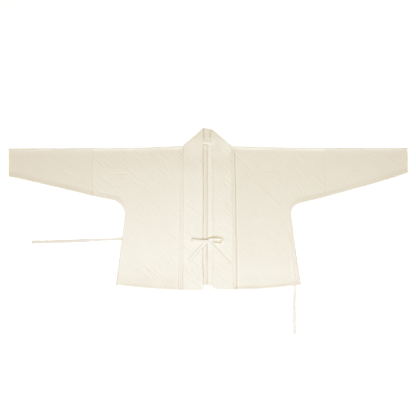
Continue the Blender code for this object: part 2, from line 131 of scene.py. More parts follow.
# The stitched ridge beside each collar seam
RIDGE_RISE = 0.0013
RIDGE_SLOPE = 0.0018
RIDGE_FADE = 0.020
RIDGE_PUCKER = {"left": 0.00070, "right": 0.00035}
RIDGE_GROOVE = 0.00060
BEAD_ROWS = (0.27, 0.73)
BEAD_SHIFT = 2.6
OUTER_SHIFT = 1.0
SEAM_SHIFT = 4.0
# Painted shade along each collar seam's stitching: at the seam, midway, at the outer line and its half
# width, the share kept at the top, and the painted highlight on the beads
RIDGE_SHADE = {
    "left": SeamShades(0.44, 0.10, 0.40, 0.0013, 0.35, 0.38),
    "right": SeamShades(0.32, 0.06, 0.52, 0.0022, 0.80, 0.18),
}

# The painted highlight on each front's top fold, the painted shade along its side edge, its inset, along
# its hem and towards the hem, and how much paler its middle is painted
EDGE_SHADE = {
    "left": Shades(1.00, 0.26, 0.0020, 0.10, 0.09, 0.17),
    "right": Shades(1.00, 0.12, 0.0178, 0.22, 0.03, -0.03),
}

# The painted shade along the centre seam, and on the back the painted shadow beside the left front's free
# edge and painted highlight beside the right one
CENTRE_SHADE = 0.30
LEFT_EDGE_SHADE = 0.60
RIGHT_EDGE_SHADE = -0.22

# How much paler the band is painted midway, and as a painted highlight near its corner at the neck
BAND_PAINTED_PALE = {"left": (0.27, 0.40), "right": (0.17, 0.60)}

# The lift of the right front over the inner tie
TIE_COVER_RISE = 0.0013
TIE_COVER_WIDTH = 0.0085
TIE_COVER_SLOPE = 0.0080

# The back's neckline: how it arches, how it is tucked under the band, and its points
NECK_RISE = 0.0024
NECK_DROP = 0.0014
NECK_REACH = 0.012
NECK_TUCK = 0.0032
NECK_TUCK_LIFT = 0.0011
NECK_INSIDE = 0.0015
NECKLINE_INSET = 0.004
NECKLINE_POINTS = 14

# The band: its width, and how its free edge and its hem run
BAND_WIDTH = 0.0850
BAND_EDGE_LIFT = 0.0003
BAND_HEM_CURVE = 20

# How far the band's free corner at the hem is cut back on each front, and over what width
BAND_CORNER = {"left": (0.0010, 0.0040), "right": (0.0052, 0.0120)}

# The ridge across the band behind the neck
RIDGE_INSET = 0.0096
RIDGE_SLANT = -0.19
RIDGE_MIDDLE = -0.0068
NECK_RIDGE = 0.0021

# The painted shadows in the folds behind the neck: x, lower end, upper end and depth of painted shade
NECK_SHADES = [
    (-0.0232, 0.288, 0.345, 0.66),
    (0.0062, 0.298, 0.342, 0.46),
]

# How the band stands up and bulges at the neck, and the rows of points that it is made of
NECK_MIDDLE = -0.004
NECK_LIFT = 0.0040
NECK_LIFT_REACH = 0.034
NECK_LIFT_START = 0.170
NECK_LIFT_END = 0.32
NECK_OPENING = 0.024
NECK_BULGE = 0.0026
BAND_STEP = 0.0032
FAN_ROWS = 30
NECK_ROWS = 52

# The tapes, and the rim of painted shade along their edges, which is fainter in the loops, and at their
# ends
BOW_WIDTH = 0.0140
CRUSH = 0.48
RIM_START = 0.42
RIM_REACH = 0.40
LOOP_RIM = 0.25
SIDE_TIE_WIDTH = 0.0120
TAPE_STEP = 0.0035
TAPE_CLEARANCE = 0.0002
TAPE_END_SHADE = 0.4

# The folded top edge of each half, from the neck to the sleeve seam and on to the cuff
SHOULDER = {
    "left": [
        Spot("neck", -0.1102, 0.2676, 0),
        Spot("sleeve seam", -0.4935, 0.2575, 0),
        Spot("cuff", -0.8528, 0.2559, 0),
    ],
    "right": [
        Spot("neck", 0.1022, 0.2660, 0),
        Spot("sleeve seam", 0.4991, 0.2582, 0),
        Spot("cuff", 0.8485, 0.2576, 0),
    ],
}

# The sewn lower edge of each sleeve, from the cuff to the sleeve seam
SLEEVE_EDGE = {
    "left": [
        Spot("cuff", -0.8528, 0.1360, 0),
        Spot("cuff hem", -0.8248, 0.1320, 0.10),
        Spot("elbow", -0.5789, 0.0749, 0.40),
        Spot("sleeve seam", -0.4935, 0.0532, 0),
    ],
    "right": [
        Spot("cuff", 0.8500, 0.1518, 0),
        Spot("forearm", 0.7121, 0.1095, 0.60),
        Spot("elbow", 0.5921, 0.0762, 0.40),
        Spot("sleeve seam", 0.4991, 0.0500, 0),
    ],
}

# The underarm and side seam of each half, from the sleeve seam to the corner of the hem
SIDE_EDGE = {
    "left": [
        Spot("sleeve seam", -0.4935, 0.0532, 0),
        Spot("armpit", -0.3505, 0.0250, 0.066),
        Spot("waist", -0.3700, -0.1287, 0.60),
        Spot("hem corner", -0.3952, -0.3262, 0),
    ],
    "right": [
        Spot("sleeve seam", 0.4991, 0.0500, 0),
        Spot("armpit", 0.3470, 0.0140, 0.048),
        Spot("waist", 0.3663, -0.1407, 0.60),
        Spot("hem corner", 0.3936, -0.3248, 0),
    ],
}

# The front hem of each half, from its corner to the collar seam
FRONT_HEM = {
    "left": [
        Spot("quarter", -0.3155, -0.3345, 0.50),
        Spot("half", -0.2135, -0.3437, 0.50),
        Spot("collar seam", -0.1092, -0.3482, 0),
    ],
    "right": [
        Spot("quarter", 0.3168, -0.3340, 0.50),
        Spot("half", 0.2147, -0.3430, 0.50),
        Spot("collar seam", 0.1062, -0.3458, 0),
    ],
}

# The band down each front: its seam to the body, and its free edge
BAND = {
    "left": [
        Front("neck", 0.2080, -0.1065, -0.0248),
        Front("breast", 0.0374, -0.1075, -0.0231),
        Front("bow", -0.1334, -0.1084, -0.0260),
        Front("tails", -0.2273, -0.1087, -0.0265),
        Front("above hem", -0.3084, -0.1089, -0.0213),
        Front("hem", -0.3482, -0.1089, -0.0205),
    ],
    "right": [
        Front("neck", 0.2080, 0.0975, 0.0146),
        Front("breast", 0.0374, 0.1010, 0.0163),
        Front("bow", -0.1334, 0.1040, 0.0180),
        Front("tails", -0.2273, 0.1050, 0.0166),
        Front("above hem", -0.3084, 0.1057, 0.0140),
        Front("hem", -0.3448, 0.1059, 0.0158),
    ],
}

# Where the band folds over at each corner of the neck, from its seam up to its free edge
NECK_CORNER = {
    "left": [(-0.1085, 0.2706), (-0.0232, 0.3434)],
    "right": [(0.0995, 0.2675), (0.0149, 0.3379)],
}

# Each collar seam's stitched allowance: heights from the hem up, and its width at each
RIDGE_WIDTH = {
    "left": (
        (-0.350, 0.0200), (-0.270, 0.0190), (-0.210, 0.0160),
        (-0.110, 0.0146), (-0.030, 0.0128), (0.250, 0.0126)),
    "right": (
        (-0.350, 0.0150), (-0.180, 0.0150), (-0.090, 0.0140),
        (0.120, 0.0154), (0.200, 0.0144), (0.250, 0.0142)),
}

# The main creases of the upper ply, laid one by one
CREASES = {
    "left": [
        Crease("wrist, upper", -0.775, 0.200, 60, 0.070, 0.026, 0.0004, 0.004),
        Crease("wrist, lower", -0.708, 0.160, 40, 0.090, 0.028, 0.0004, -0.005),
        Crease("cuff", -0.818, 0.185, 72, 0.080, 0.016, -0.0002, 0.003),
        Crease("forearm", -0.600, 0.165, -30, 0.120, 0.040, 0.0003, 0.006),
        Crease("elbow, upper", -0.640, 0.215, -14, 0.150, 0.030, -0.0002, 0.004),
        Crease("elbow, lower", -0.545, 0.110, -38, 0.090, 0.024, 0.0002, -0.004),
        Crease("armpit, pressed", -0.372, 0.1490, 1, 0.105, 0.009, -0.0012, 0.001),
        Crease("armpit, drawn", -0.325, -0.008, 14, 0.060, 0.018, 0.0003, 0.002),
        Crease("shoulder", -0.180, 0.205, -38, 0.120, 0.024, 0.00025, 0.004),
        Crease("breast", -0.240, 0.110, -42, 0.190, 0.036, 0.00035, 0.008),
        Crease("breast, beside", -0.205, 0.075, -46, 0.150, 0.024, -0.0002, -0.005),
        Crease("ribs", -0.300, 0.040, -48, 0.140, 0.026, 0.0002, 0.005),
        Crease("side", -0.270, -0.090, -50, 0.180, 0.034, 0.00035, -0.006),
        Crease("side, beside", -0.310, -0.150, -56, 0.120, 0.022, -0.0002, 0.004),
        Crease("above hem", -0.200, -0.230, -44, 0.150, 0.038, 0.0003, 0.006),
        Crease("hem, drawn", -0.155, -0.285, 42, 0.090, 0.024, -0.00025, 0.004),
    ],
    "right": [
        Crease("wrist", 0.770, 0.200, -40, 0.090, 0.032, 0.00035, 0.004),
        Crease("cuff", 0.815, 0.190, -65, 0.070, 0.018, -0.0002, 0.003),
        Crease("forearm, pressed", 0.625, 0.167, 0, 0.065, 0.009, -0.0010, 0.001),
        Crease("elbow", 0.560, 0.120, -28, 0.110, 0.028, 0.0002, -0.004),
        Crease("upper sleeve", 0.700, 0.205, -24, 0.120, 0.026, -0.0002, 0.004),
        Crease("shoulder, pressed", 0.255, 0.1620, 0, 0.190, 0.009, -0.0009, 0.001),
        Crease("shoulder", 0.190, 0.215, -44, 0.110, 0.024, 0.0002, 0.003),
        Crease("armpit, drawn", 0.330, 0.020, -20, 0.080, 0.020, 0.0003, -0.003),
        Crease("breast", 0.220, 0.080, -38, 0.190, 0.036, 0.00035, 0.007),
        Crease("breast, beside", 0.275, 0.060, -44, 0.150, 0.024, -0.0002, -0.005),
        Crease("side", 0.280, -0.110, -46, 0.170, 0.034, 0.00035, 0.006),
        Crease("side, beside", 0.330, -0.175, -52, 0.130, 0.022, -0.0002, 0.004),
        Crease("above hem", 0.190, -0.235, -40, 0.150, 0.038, 0.0003, -0.005),
    ],
    "band": [
        Crease("right band, pressed", 0.0915, -0.235, 90, 0.150, 0.007, -0.0004, 0.001),
        Crease("left band, breast", -0.070, 0.120, -52, 0.110, 0.022, 0.0002, 0.004),
        Crease("left band, waist", -0.080, -0.060, -60, 0.100, 0.020, 0.00015, 0.003),
        Crease("right band, breast", 0.060, 0.080, -48, 0.110, 0.022, 0.0002, -0.004),
        Crease("right band, waist", 0.050, -0.040, -44, 0.090, 0.020, -0.00015, 0.003),
        Crease("left band, hem", -0.075, -0.270, -64, 0.080, 0.022, 0.00015, 0.003),
    ],
}

# The tapes' routes, by the points that the CAD also uses: across is the heading of the width and lean its
# rise, both in degrees, and shade its painted shadow
TIE_SIDE = [
    Bend(-0.3704, -0.1287, 0.0014, 83, 0),
    Bend(-0.3770, -0.1289, 0.0012, 87, 2),
    Bend(-0.3860, -0.1294, 0.0018, 91, 10, 0.10),
    Bend(-0.4010, -0.1302, 0.0046, 92, 34, 0.20),
    Bend(-0.4340, -0.1322, 0.0053, 92, 38, 0.22),
    Bend(-0.4660, -0.1337, 0.0053, 93, 38, 0.22),
    Bend(-0.4880, -0.1346, 0.0044, 93, 28, 0.10),
    Bend(-0.5060, -0.1353, 0.0016, 92, 10),
    Bend(-0.5220, -0.1360, 0.0006, 92, 0),
    Bend(-0.5576, -0.1373, 0.0006, 92, 0),
    Bend(-0.6173, -0.1394, 0.0006, 91, 0),
    Bend(-0.6856, -0.1412, 0.0006, 91, 0),
    Bend(-0.7540, -0.1428, 0.0006, 91, 0),
]
TIE_INNER_COVERED = [
    Bend(0.3570, -0.1520, 0.0020, 8, 0),
    Bend(0.3600, -0.1800, 0.0020, 6, 0),
    Bend(0.3628, -0.2150, 0.0020, 4, 0),
    Bend(0.3650, -0.2550, 0.0020, 2, 0),
    Bend(0.3660, -0.2900, 0.0020, 1, 0),
    Bend(0.3664, -0.3270, 0.0020, 0, 0),
]
TIE_INNER_FREE = [
    Bend(0.3665, -0.3400, 0.0012, 0, 0),
    Bend(0.3665, -0.3540, 0.0006, 0, 0),
    Bend(0.3660, -0.3900, 0.0006, 0, 0),
    Bend(0.3658, -0.4300, 0.0006, 0, 0),
    Bend(0.3662, -0.4750, 0.0006, 0, 0),
    Bend(0.3668, -0.5340, 0.0006, 0, 0),
]
BOW_TIE_LEFT = [
    Bend(-0.0310, -0.1370, 0.0044, 90, 0),
    Bend(-0.0200, -0.1370, 0.0044, 90, 0),
    Bend(-0.0085, -0.1370, 0.0044, 90, 0),
    Bend(-0.0072, -0.1370, 0.0052, 90, 0),
    Bend(-0.0085, -0.1370, 0.0060, 90, 0),
    Bend(-0.0200, -0.1362, 0.0060, 90, 0),
    Bend(-0.0330, -0.1350, 0.0060, 90, 0),
    Bend(-0.0430, -0.1342, 0.0047, 90, 0),
    Bend(-0.0580, -0.1336, 0.0044, 90, 0, 0.06),
    Bend(-0.0700, -0.1336, 0.0044, 90, 0, 0.22),
    Bend(-0.0738, -0.1338, 0.0058, 90, 0, 0.30),
    Bend(-0.0710, -0.1343, 0.0074, 90, 0, 0.22),
    Bend(-0.0580, -0.1358, 0.0080, 90, 0, 0.04),
    Bend(-0.0400, -0.1378, 0.0080, 90, 0),
    Bend(-0.0240, -0.1390, 0.0085, 90, 0),
    Bend(-0.0120, -0.1396, 0.0089, 88, 0),
    Bend(-0.0020, -0.1418, 0.0089, 74, 0),
    Bend(0.0070, -0.1480, 0.0084, 56, 0),
    Bend(0.0150, -0.1568, 0.0066, 48, 0),
    Bend(0.0250, -0.1668, 0.0048, 45, 0),
    Bend(0.0480, -0.1905, 0.0044, 45, 0),
    Bend(0.0700, -0.2125, 0.0044, 44, 0),
    Bend(0.0912, -0.2335, 0.0044, 43, 0),
]
BOW_TIE_RIGHT = [
    Bend(0.0210, -0.1370, 0.0044, 90, 0),
    Bend(0.0120, -0.1370, 0.0044, 90, 0),
    Bend(0.0010, -0.1370, 0.0044, 90, 0),
    Bend(-0.0003, -0.1371, 0.0052, 90, 0),
    Bend(0.0010, -0.1375, 0.0060, 90, 0, 0.02),
    Bend(0.0080, -0.1395, 0.0066, 90, 12, 0.04),
    Bend(0.0165, -0.1435, 0.0086, 90, 42, 0.02),
    Bend(0.0280, -0.1470, 0.0098, 90, 62, 0.00),
    Bend(0.0420, -0.1480, 0.0101, 90, 72, 0.00),
    Bend(0.0515, -0.1450, 0.0102, 90, 84, 0.04),
    Bend(0.0552, -0.1385, 0.0102, 90, 88, 0.08),
    Bend(0.0515, -0.1320, 0.0102, 90, 84, 0.02),
    Bend(0.0420, -0.1285, 0.0101, 90, 74, -0.06),
    Bend(0.0280, -0.1280, 0.0100, 90, 62, -0.10),
    Bend(0.0150, -0.1300, 0.0104, 90, 40, -0.06),
    Bend(0.0050, -0.1335, 0.0083, 92, 8, 0.00),
    Bend(-0.0030, -0.1370, 0.0075, 98, 0),
    Bend(-0.0085, -0.1410, 0.0074, 118, 0),
    Bend(-0.0140, -0.1464, 0.0074, 134, 0),
    Bend(-0.0200, -0.1526, 0.0066, 136, 0),
    Bend(-0.0290, -0.1620, 0.0047, 136, 0),
    Bend(-0.0560, -0.1900, 0.0044, 136, 0),
    Bend(-0.0846, -0.2230, 0.0044, 137, 0),
]

# Each tape: route, width, share up to the end of its loop, and painted shade of its middle and two edges, a
# painted highlight where below 0
TAPES = {
    "bow_tie_left": Tape(BOW_TIE_LEFT, BOW_WIDTH, 0.55, -0.05, 0.16, 0.36),
    "bow_tie_right": Tape(BOW_TIE_RIGHT, BOW_WIDTH, 0.55, -0.45, 0.46, 0.46),
    "tie_side": Tape(TIE_SIDE, SIDE_TIE_WIDTH, 0.0, 0.16, 0.30, 0.24),
    "tie_inner": Tape(TIE_INNER_COVERED + TIE_INNER_FREE, SIDE_TIE_WIDTH, 0.0, 0.10, 0.16, 0.22),
}

# A tape's section, in halves of its width and thickness, with a stitched line near each edge
TAPE_SECTION = [
    (-1.00, 0.0), (-0.96, 0.72), (-0.86, 0.94), (-0.76, 0.66), (-0.64, 0.92), (-0.30, 1.0),
    (0.30, 1.0), (0.64, 0.92), (0.76, 0.66), (0.86, 0.94), (0.96, 0.72), (1.00, 0.0),
    (0.96, -0.72), (0.64, -0.92), (0.0, -1.0), (-0.64, -0.92), (-0.96, -0.72),
]

# The lamps: a warm one straight overhead, and two cool softboxes beyond the hem that pick out the relief
LAMPS = [
    Lamp("overhead softbox", (0.0, 0.0, 7.5), (0.0, 0.0, 0.0), 1.5, 203.0, (1.0, 0.635, 0.0)),
    Lamp("low softbox", (-1.40, -1.90, 1.80), (0.0, -0.20, 0.0), 1.2, 54.4, (0.592, 0.743, 1.0)),
    Lamp("high softbox", (0.50, -0.70, 2.20), (0.25, -0.25, 0.0), 1.2, 40.0, (0.592, 0.743, 1.0)),
]
SKY = (0.082, 0.050, 0.0)
SKY_STRENGTH = 1.0
FLOOR_SIZE = 60.0
FLOOR_DROP = 0.0002
FLOOR_COLOUR = (0.30, 0.30, 0.30, 1.0)
FLOOR_GLOW = 0.84

# The cotton's colours
COTTON = (0.835, 0.800, 0.712, 1.0)
COTTON_DEEP = (0.800, 0.752, 0.640, 1.0)
COTTON_PALE = (0.860, 0.832, 0.758, 1.0)
TAPE_COTTON = (0.856, 0.836, 0.800, 1.0)
TAPE_DEEP = (0.835, 0.808, 0.750, 1.0)
BOW_COTTON = (0.832, 0.804, 0.738, 1.0)
# The painted shade colour that the fold attribute mixes in above 0, and the painted highlight colour it
# mixes in below 0
PAINTED_SHADE = (0.600, 0.470, 0.300, 1.0)
PAINTED_HIGHLIGHT = (0.935, 0.915, 0.860, 1.0)
YARN = 0.00085
COCKLE_HEIGHT = 0.00050

# The fine crinkles and the soft swells of each kind of piece, and the seeds that place them
BODY_REACH = 0.5
BODY_CRINKLES = Crinkling(
    640, (-0.35, 0.27), (-62, -34), (0.026, 0.110), (0.0054, 0.0084), (0.00016, 0.00110))
BODY_SWELLS = Crinkling(60, (-0.35, 0.27), (-60, -20), (0.05, 0.16), (0.028, 0.050), (0.00015, 0.00045))
BODY_SEEDS = {"left": (11, 21), "right": (12, 22)}
SLEEVE_CRINKLES = Crinkling(
    150, (0.05, 0.26), (-60, -26), (0.026, 0.100), (0.0056, 0.0086), (0.00010, 0.00040))
SLEEVE_SWELLS = Crinkling(22, (0.05, 0.26), (-60, 20), (0.05, 0.12), (0.026, 0.045), (0.00015, 0.00045))
SLEEVE_SEEDS = {"left": (13, 23), "right": (14, 24)}
BAND_ACROSS = (-0.11, 0.11)
BAND_CRINKLES = Crinkling(
    430, (-0.35, 0.33), (-60, -36), (0.026, 0.110), (0.0058, 0.0086), (0.00045, 0.00140))
BAND_SEED = 15


class Value:
    """A number, colour or vector in a material. Arithmetic on numbers adds Math nodes."""

    def __init__(self, finish, socket):
        self.finish = finish
        self.socket = socket

    def maths(self, operation, *values):
        inputs = dict(enumerate(values))
        return self.finish.node("ShaderNodeMath", {"operation": operation}, inputs)

    def __add__(self, other):
        return self.maths("ADD", self, other)

    def __radd__(self, other):
        return self.maths("ADD", other, self)

    def __sub__(self, other):
        return self.maths("SUBTRACT", self, other)

    def __rsub__(self, other):
        return self.maths("SUBTRACT", other, self)

    def __mul__(self, other):
        return self.maths("MULTIPLY", self, other)

    def __gt__(self, other):
        return self.maths("GREATER_THAN", self, other)

    def __abs__(self):
        return self.maths("ABSOLUTE", self)

    def sine(self):
        return self.maths("SINE", self)

    def above_zero(self):
        return self.maths("MAXIMUM", self, 0.0)


class Finish:
    """One material and its nodes."""

    def __init__(self, name):
        self.material = bpy.data.materials.new(name)
        self.material.use_nodes = True
        self.tree = self.material.node_tree
        self.tree.nodes.clear()

    def node(self, kind, settings=None, inputs=None, output=0):
        """Adds a node: its settings first, then the values or links of its sockets."""
        made = self.tree.nodes.new(kind)
        for name, value in (settings or {}).items():
            setattr(made, name, value)
        for name, value in (inputs or {}).items():
            if isinstance(value, Value):
                self.tree.links.new(value.socket, made.inputs[name])
            else:
                made.inputs[name].default_value = value
        return Value(self, made.outputs[output]) if made.outputs else None

    def mix(self, factor, first, second):
        inputs = {0: factor, 6: first, 7: second}
        return self.node("ShaderNodeMix", {"data_type": "RGBA"}, inputs, output=2)

    def noise(self, place, scale, detail=2.0, stretch=None):
        if stretch:
            place = self.node(
                "ShaderNodeVectorMath", {"operation": "MULTIPLY"}, {0: place, 1: stretch})
        return self.node(
            "ShaderNodeTexNoise", None, {"Vector": place, "Scale": scale, "Detail": detail})

    def done(self, shader):
        self.node("ShaderNodeOutputMaterial", None, {"Surface": shader})
        return self.material


def woven_cotton(name, colours, yarn):
    """Plain-woven cotton with a light crepe: crossing yarns, slubs and a cockled, mottled surface, with
    shade and highlights painted in from the fold attribute.
    """
    finish = Finish(name)
    lay = finish.node("ShaderNodeAttribute", {"attribute_name": "lay"}, output=1)
    across = finish.node("ShaderNodeSeparateXYZ", None, {0: lay}, output=0)
    along = finish.node("ShaderNodeSeparateXYZ", None, {0: lay}, output=1)

    sway = finish.noise(lay, 240.0) * (yarn * 0.9)
    warp = ((across + sway) * (math.pi / yarn)).sine()
    weft = ((along + sway) * (math.pi / yarn)).sine()
    warp_on_top = (warp * weft) > 0.0
    weave = abs(warp) * warp_on_top + abs(weft) * (1 - warp_on_top)
    crepe = finish.noise(lay, 620.0, 3.0)
    slub = finish.noise(lay, 190.0, 2.0, stretch=(1.0, 0.10, 1.0))
    cockle = finish.noise(lay, 150.0, 2.0)
    height = weave * 0.00003 + crepe * 0.00005 + slub * 0.00004 + cockle * COCKLE_HEIGHT

    cloudy = finish.noise(lay, 17.0, 3.0)
    streaks = finish.noise(lay, 300.0, 2.0, stretch=(0.06, 1.0, 1.0))
    mottle = finish.noise(lay, 175.0, 1.0)
    # The part from the weave is a painted shade, deeper where the yarns dip
    depth_of_colour = cloudy * 0.45 + streaks * 0.25 + slub * 0.20 + (1 - weave) * 0.10
    depth_of_colour = depth_of_colour + (mottle - 0.5) * 1.4
    deep, plain, pale = colours
    shade = finish.mix(depth_of_colour, pale, deep)
    even = finish.mix(0.45, shade, plain)
    # The fold attribute paints shade into the colour above 0 and a pale highlight below 0
    fold = finish.node("ShaderNodeAttribute", {"attribute_name": "fold"}, output=2)
    shaded = finish.mix(fold.above_zero(), even, PAINTED_SHADE)
    colour = finish.mix((0.0 - fold).above_zero(), shaded, PAINTED_HIGHLIGHT)
    bump = finish.node("ShaderNodeBump", None, {"Strength": 1.0, "Distance": 1.0, "Height": height})
    roughness = 0.80 + crepe * 0.12
    shader = finish.node("ShaderNodeBsdfPrincipled", None, {
        "Base Color": colour, "Roughness": roughness, "Normal": bump,
        "Sheen Weight": 0.05, "Sheen Roughness": 0.5, "Specular IOR Level": 0.2})
    return finish.done(shader)


def pale_floor(name):
    finish = Finish(name)
    shader = finish.node("ShaderNodeBsdfPrincipled", None, {
        "Base Color": FLOOR_COLOUR, "Roughness": 0.9, "Specular IOR Level": 0.1,
        "Emission Color": (1.0, 1.0, 1.0, 1.0), "Emission Strength": FLOOR_GLOW})
    return finish.done(shader)


def eased(value):
    value = np.clip(value, 0.0, 1.0)
    return value * value * (3 - 2 * value)


def fading(distance, reach):
    """1 at an edge, falling smoothly to 0 at its reach."""
    return eased(1 - distance / reach)


def uneven(places, size):
    """A smooth irregular change from place to place, between about 0.4 and 1.6."""
    x, y = places[:, 0] / size, places[:, 1] / size
    waves = np.sin(2.1 * x + 1.3) + np.sin(1.7 * y + 0.4) + np.sin(1.3 * x - 1.1 * y + 2.2)
    return 1 + 0.2 * waves


def unit(vector):
    return vector / np.linalg.norm(vector)


def units(vectors):
    return vectors / np.linalg.norm(vectors, axis=1)[:, None]


def raised(places, height=0.0):
    return np.column_stack([places, np.full(len(places), height)])


def run_along(points):
    """How far along their line each of the points lies."""
    return np.concatenate([[0], np.cumsum(np.linalg.norm(np.diff(points, axis=0), axis=1))])


def flat(spot):
    return np.array((spot.x, spot.y))


def rounded(spots):
    """A line through the spots, with an arc of each spot's own radius at its corner."""
    points = []
    for number, spot in enumerate(spots):
        corner = flat(spot)
        if not spot.round or number in (0, len(spots) - 1):
            points.append(corner)
            continue
        before = unit(flat(spots[number - 1]) - corner)
        after = unit(flat(spots[number + 1]) - corner)
        half = math.acos(float(before @ after)) / 2
        reach = spot.round / math.tan(half)
        middle = corner + unit(before + after) * (spot.round / math.sin(half))
        start = corner + before * reach - middle
        end = corner + after * reach - middle
        swept = math.atan2(start[0] * end[1] - start[1] * end[0], float(start @ end))
        steps = max(1, math.ceil(abs(swept) / ARC_STEP))
        for step in range(steps + 1):
            turn = swept * step / steps
            points.append(middle + np.array((
                start[0] * math.cos(turn) - start[1] * math.sin(turn),
                start[0] * math.sin(turn) + start[1] * math.cos(turn))))
    return np.array(points)


def spaced(line, step):
    """The line with its corners kept and points about a step apart between them."""
    line, points = np.asarray(line), []
    for start, end in zip(line[:-1], line[1:]):
        count = max(1, round(float(np.linalg.norm(end - start)) / step))
        points += [start + (end - start) * number / count for number in range(count)]
    return np.array(points + [line[-1]])


def distance(places, line, reach=FAR):
    """How far each place is from a line, or the reach where it is farther."""
    nearest = np.full(len(places), reach)
    order = np.argsort(places[:, 0])
    x = places[order, 0]
    for start, end in zip(line[:-1], line[1:]):
        first = np.searchsorted(x, min(start[0], end[0]) - reach)
        last = np.searchsorted(x, max(start[0], end[0]) + reach)
        chosen = order[first:last]
        run = end - start
        offset = places[chosen] - start
        share = np.clip(offset @ run / (run @ run), 0, 1)
        gap = offset - share[:, None] * run
        nearest[chosen] = np.minimum(nearest[chosen], np.hypot(gap[:, 0], gap[:, 1]))
    return nearest


def inside(places, outline):
    x, y = places[:, 0], places[:, 1]
    within = np.zeros(len(places), bool)
    for (ax, ay), (bx, by) in zip(outline, np.roll(outline, -1, axis=0)):
        if ay != by:
            within ^= ((ay > y) != (by > y)) & (x < ax + (y - ay) * (bx - ax) / (by - ay))
    return within


def beside(line, aside):
    """The line moved aside, to its left."""
    runs = units(np.diff(line, axis=0))
    sides = np.stack([-runs[:, 1], runs[:, 0]], 1)
    mean = units(np.concatenate([sides[:1], sides[:-1] + sides[1:], sides[-1:]]))
    return line + mean * aside


def staggered(low, high, cell):
    """Evenly spread places in rows, each row half a cell aside from the last."""
    places = []
    for row, y in enumerate(np.arange(low[1], high[1], cell * math.sqrt(3) / 2)):
        x = np.arange(low[0] + (row % 2) * cell / 2, high[0], cell)
        places.append(np.stack([x, np.full(len(x), y)], 1))
    return np.concatenate(places)


def divided(edges, zones, rolls, cells):
    """A flat cut's points and triangles, from the lines that run round it.

    Each zone adds rows of points beside an edge, and rolls are the rows across a fold.
    cells holds the size of the triangles elsewhere, each with the test for where it holds.
    """
    outline = np.concatenate([edge[:-1] for edge in edges])
    found = list(rolls)
    for zone in zones:
        for inset in zone.insets:
            line = beside(spaced(zone.line, zone.step), inset)
            if inside(line[::8], outline).mean() < 0.5:
                line = beside(spaced(zone.line, zone.step), -inset)
            found.append(line[distance(line, zone.line, 2 * inset) > 0.9 * inset])
    low, high = outline.min(0), outline.max(0)
    for cell, here in cells:
        grid = staggered(low, high, cell)
        grid = grid[here(grid)]
        for zone in zones:
            reach = zone.insets[-1] + 0.45 * cell
            grid = grid[distance(grid, zone.line, reach) >= reach]
        for roll in rolls:
            grid = grid[distance(grid, roll[[0, -1]], 0.5 * cell) >= 0.5 * cell]
        found.append(grid)
    inner = np.concatenate(found)
    ring_line = np.concatenate([outline, outline[:1]])
    inner = inner[distance(inner, ring_line, CLOSEST) >= CLOSEST]
    _, first = np.unique(np.round(inner / CLOSEST).astype(int), axis=0, return_index=True)
    places = np.concatenate([outline, inner[np.sort(first)]])
    ring = [(number, (number + 1) % len(outline)) for number in range(len(outline))]
    corners, _, faces, *_ = delaunay_2d_cdt([Vector(place) for place in places], ring, [], 1, 1e-7)
    used, faces = np.unique(np.array(faces), return_inverse=True)
    return np.array([tuple(corner) for corner in corners])[used], faces.reshape(-1, 3).tolist()


def past(places, fold):
    return (places - fold.place) @ fold.out


def opened(places, fold):
    """Where the turned part's places lie while the cut is still open."""
    return places - np.outer(2 * past(places, fold) - math.pi * fold.radius, fold.out)


def turned(points, fold):
    """Rolls the points that are past the fold line over the fold, along the length of the cloth."""
    reach = np.maximum(past(points[:, :2], fold), 0)
    angle = np.minimum(reach / fold.radius, math.pi)
    shift = fold.radius * np.sin(angle) - (reach - angle * fold.radius) - reach
    moved = points.copy()
    moved[:, :2] += np.outer(shift, fold.out)
    moved[:, 2] += fold.rise * fold.radius * (1 - np.cos(angle))
    return moved


def roll_rows(fold, start, end, step):
    """Rows of points across the fold's roll, on the open cut, and the two lines at its ends."""
    along = spaced(np.array([start, end]), step)
    shifts = [fold.out * (math.pi * fold.radius * number / ROLL_STEPS) for number in range(ROLL_STEPS + 1)]
    rows = [along[1:-1] + shift for shift in shifts]
    ends = [np.array([place + shift for shift in shifts]) for place in (start, end)]
    return rows, ends


def upward(along):
    """The direction square to a line that points up the picture."""
    out = np.array((-along[1], along[0]))
    return -out if out[1] < 0 else out


def top_fold(start, end):
    """The fold along a top edge. Its roll stands out to the edge itself."""
    place = flat(start)
    out = upward(unit(flat(end) - place))
    return Fold(place - out * (TURN + WALL / 2), out, TURN, -1)


def body_fold(side):
    return top_fold(*SHOULDER[side][:2])


def sleeve_top(side):
    return top_fold(*SHOULDER[side][1:])


def crease_rise(places, creases):
    """The rise of a set of creases, each a soft ridge or trough that dies away at both ends."""
    rise = np.zeros(len(places))
    order = np.argsort(places[:, 0])
    x = places[order, 0]
    for crease in creases:
        heading = math.radians(crease.heading)
        reach = (crease.length + crease.width) / 2 + abs(crease.bow)
        first, last = np.searchsorted(x, (crease.x - reach, crease.x + reach))
        chosen = order[first:last]
        offset = places[chosen] - flat(crease)
        along = (offset[:, 0] * math.cos(heading) + offset[:, 1] * math.sin(heading)) / crease.length
        aside = offset[:, 1] * math.cos(heading) - offset[:, 0] * math.sin(heading)
        aside = (aside - crease.bow * (1 - 4 * along**2)) / crease.width
        rise[chosen] += crease.rise * eased(1 - abs(2 * along)) * eased(1 - abs(2 * aside))
    return rise


def crinkles(seed, across, kind):
    """Fine creases left by the washed cotton, all leaning about the same way."""
    chance = random.Random(seed)
    made = []
    least, most = kind.rises
    for _ in range(kind.count):
        length = chance.uniform(*kind.lengths)
        rise = least + (most - least) * chance.random()**3
        made.append(Crease(
            "crinkle", chance.uniform(*across), chance.uniform(*kind.heights),
            chance.uniform(*kind.headings), length, chance.uniform(*kind.widths),
            rise * chance.choice((-1, 1)), chance.uniform(-0.04, 0.04) * length))
    return made


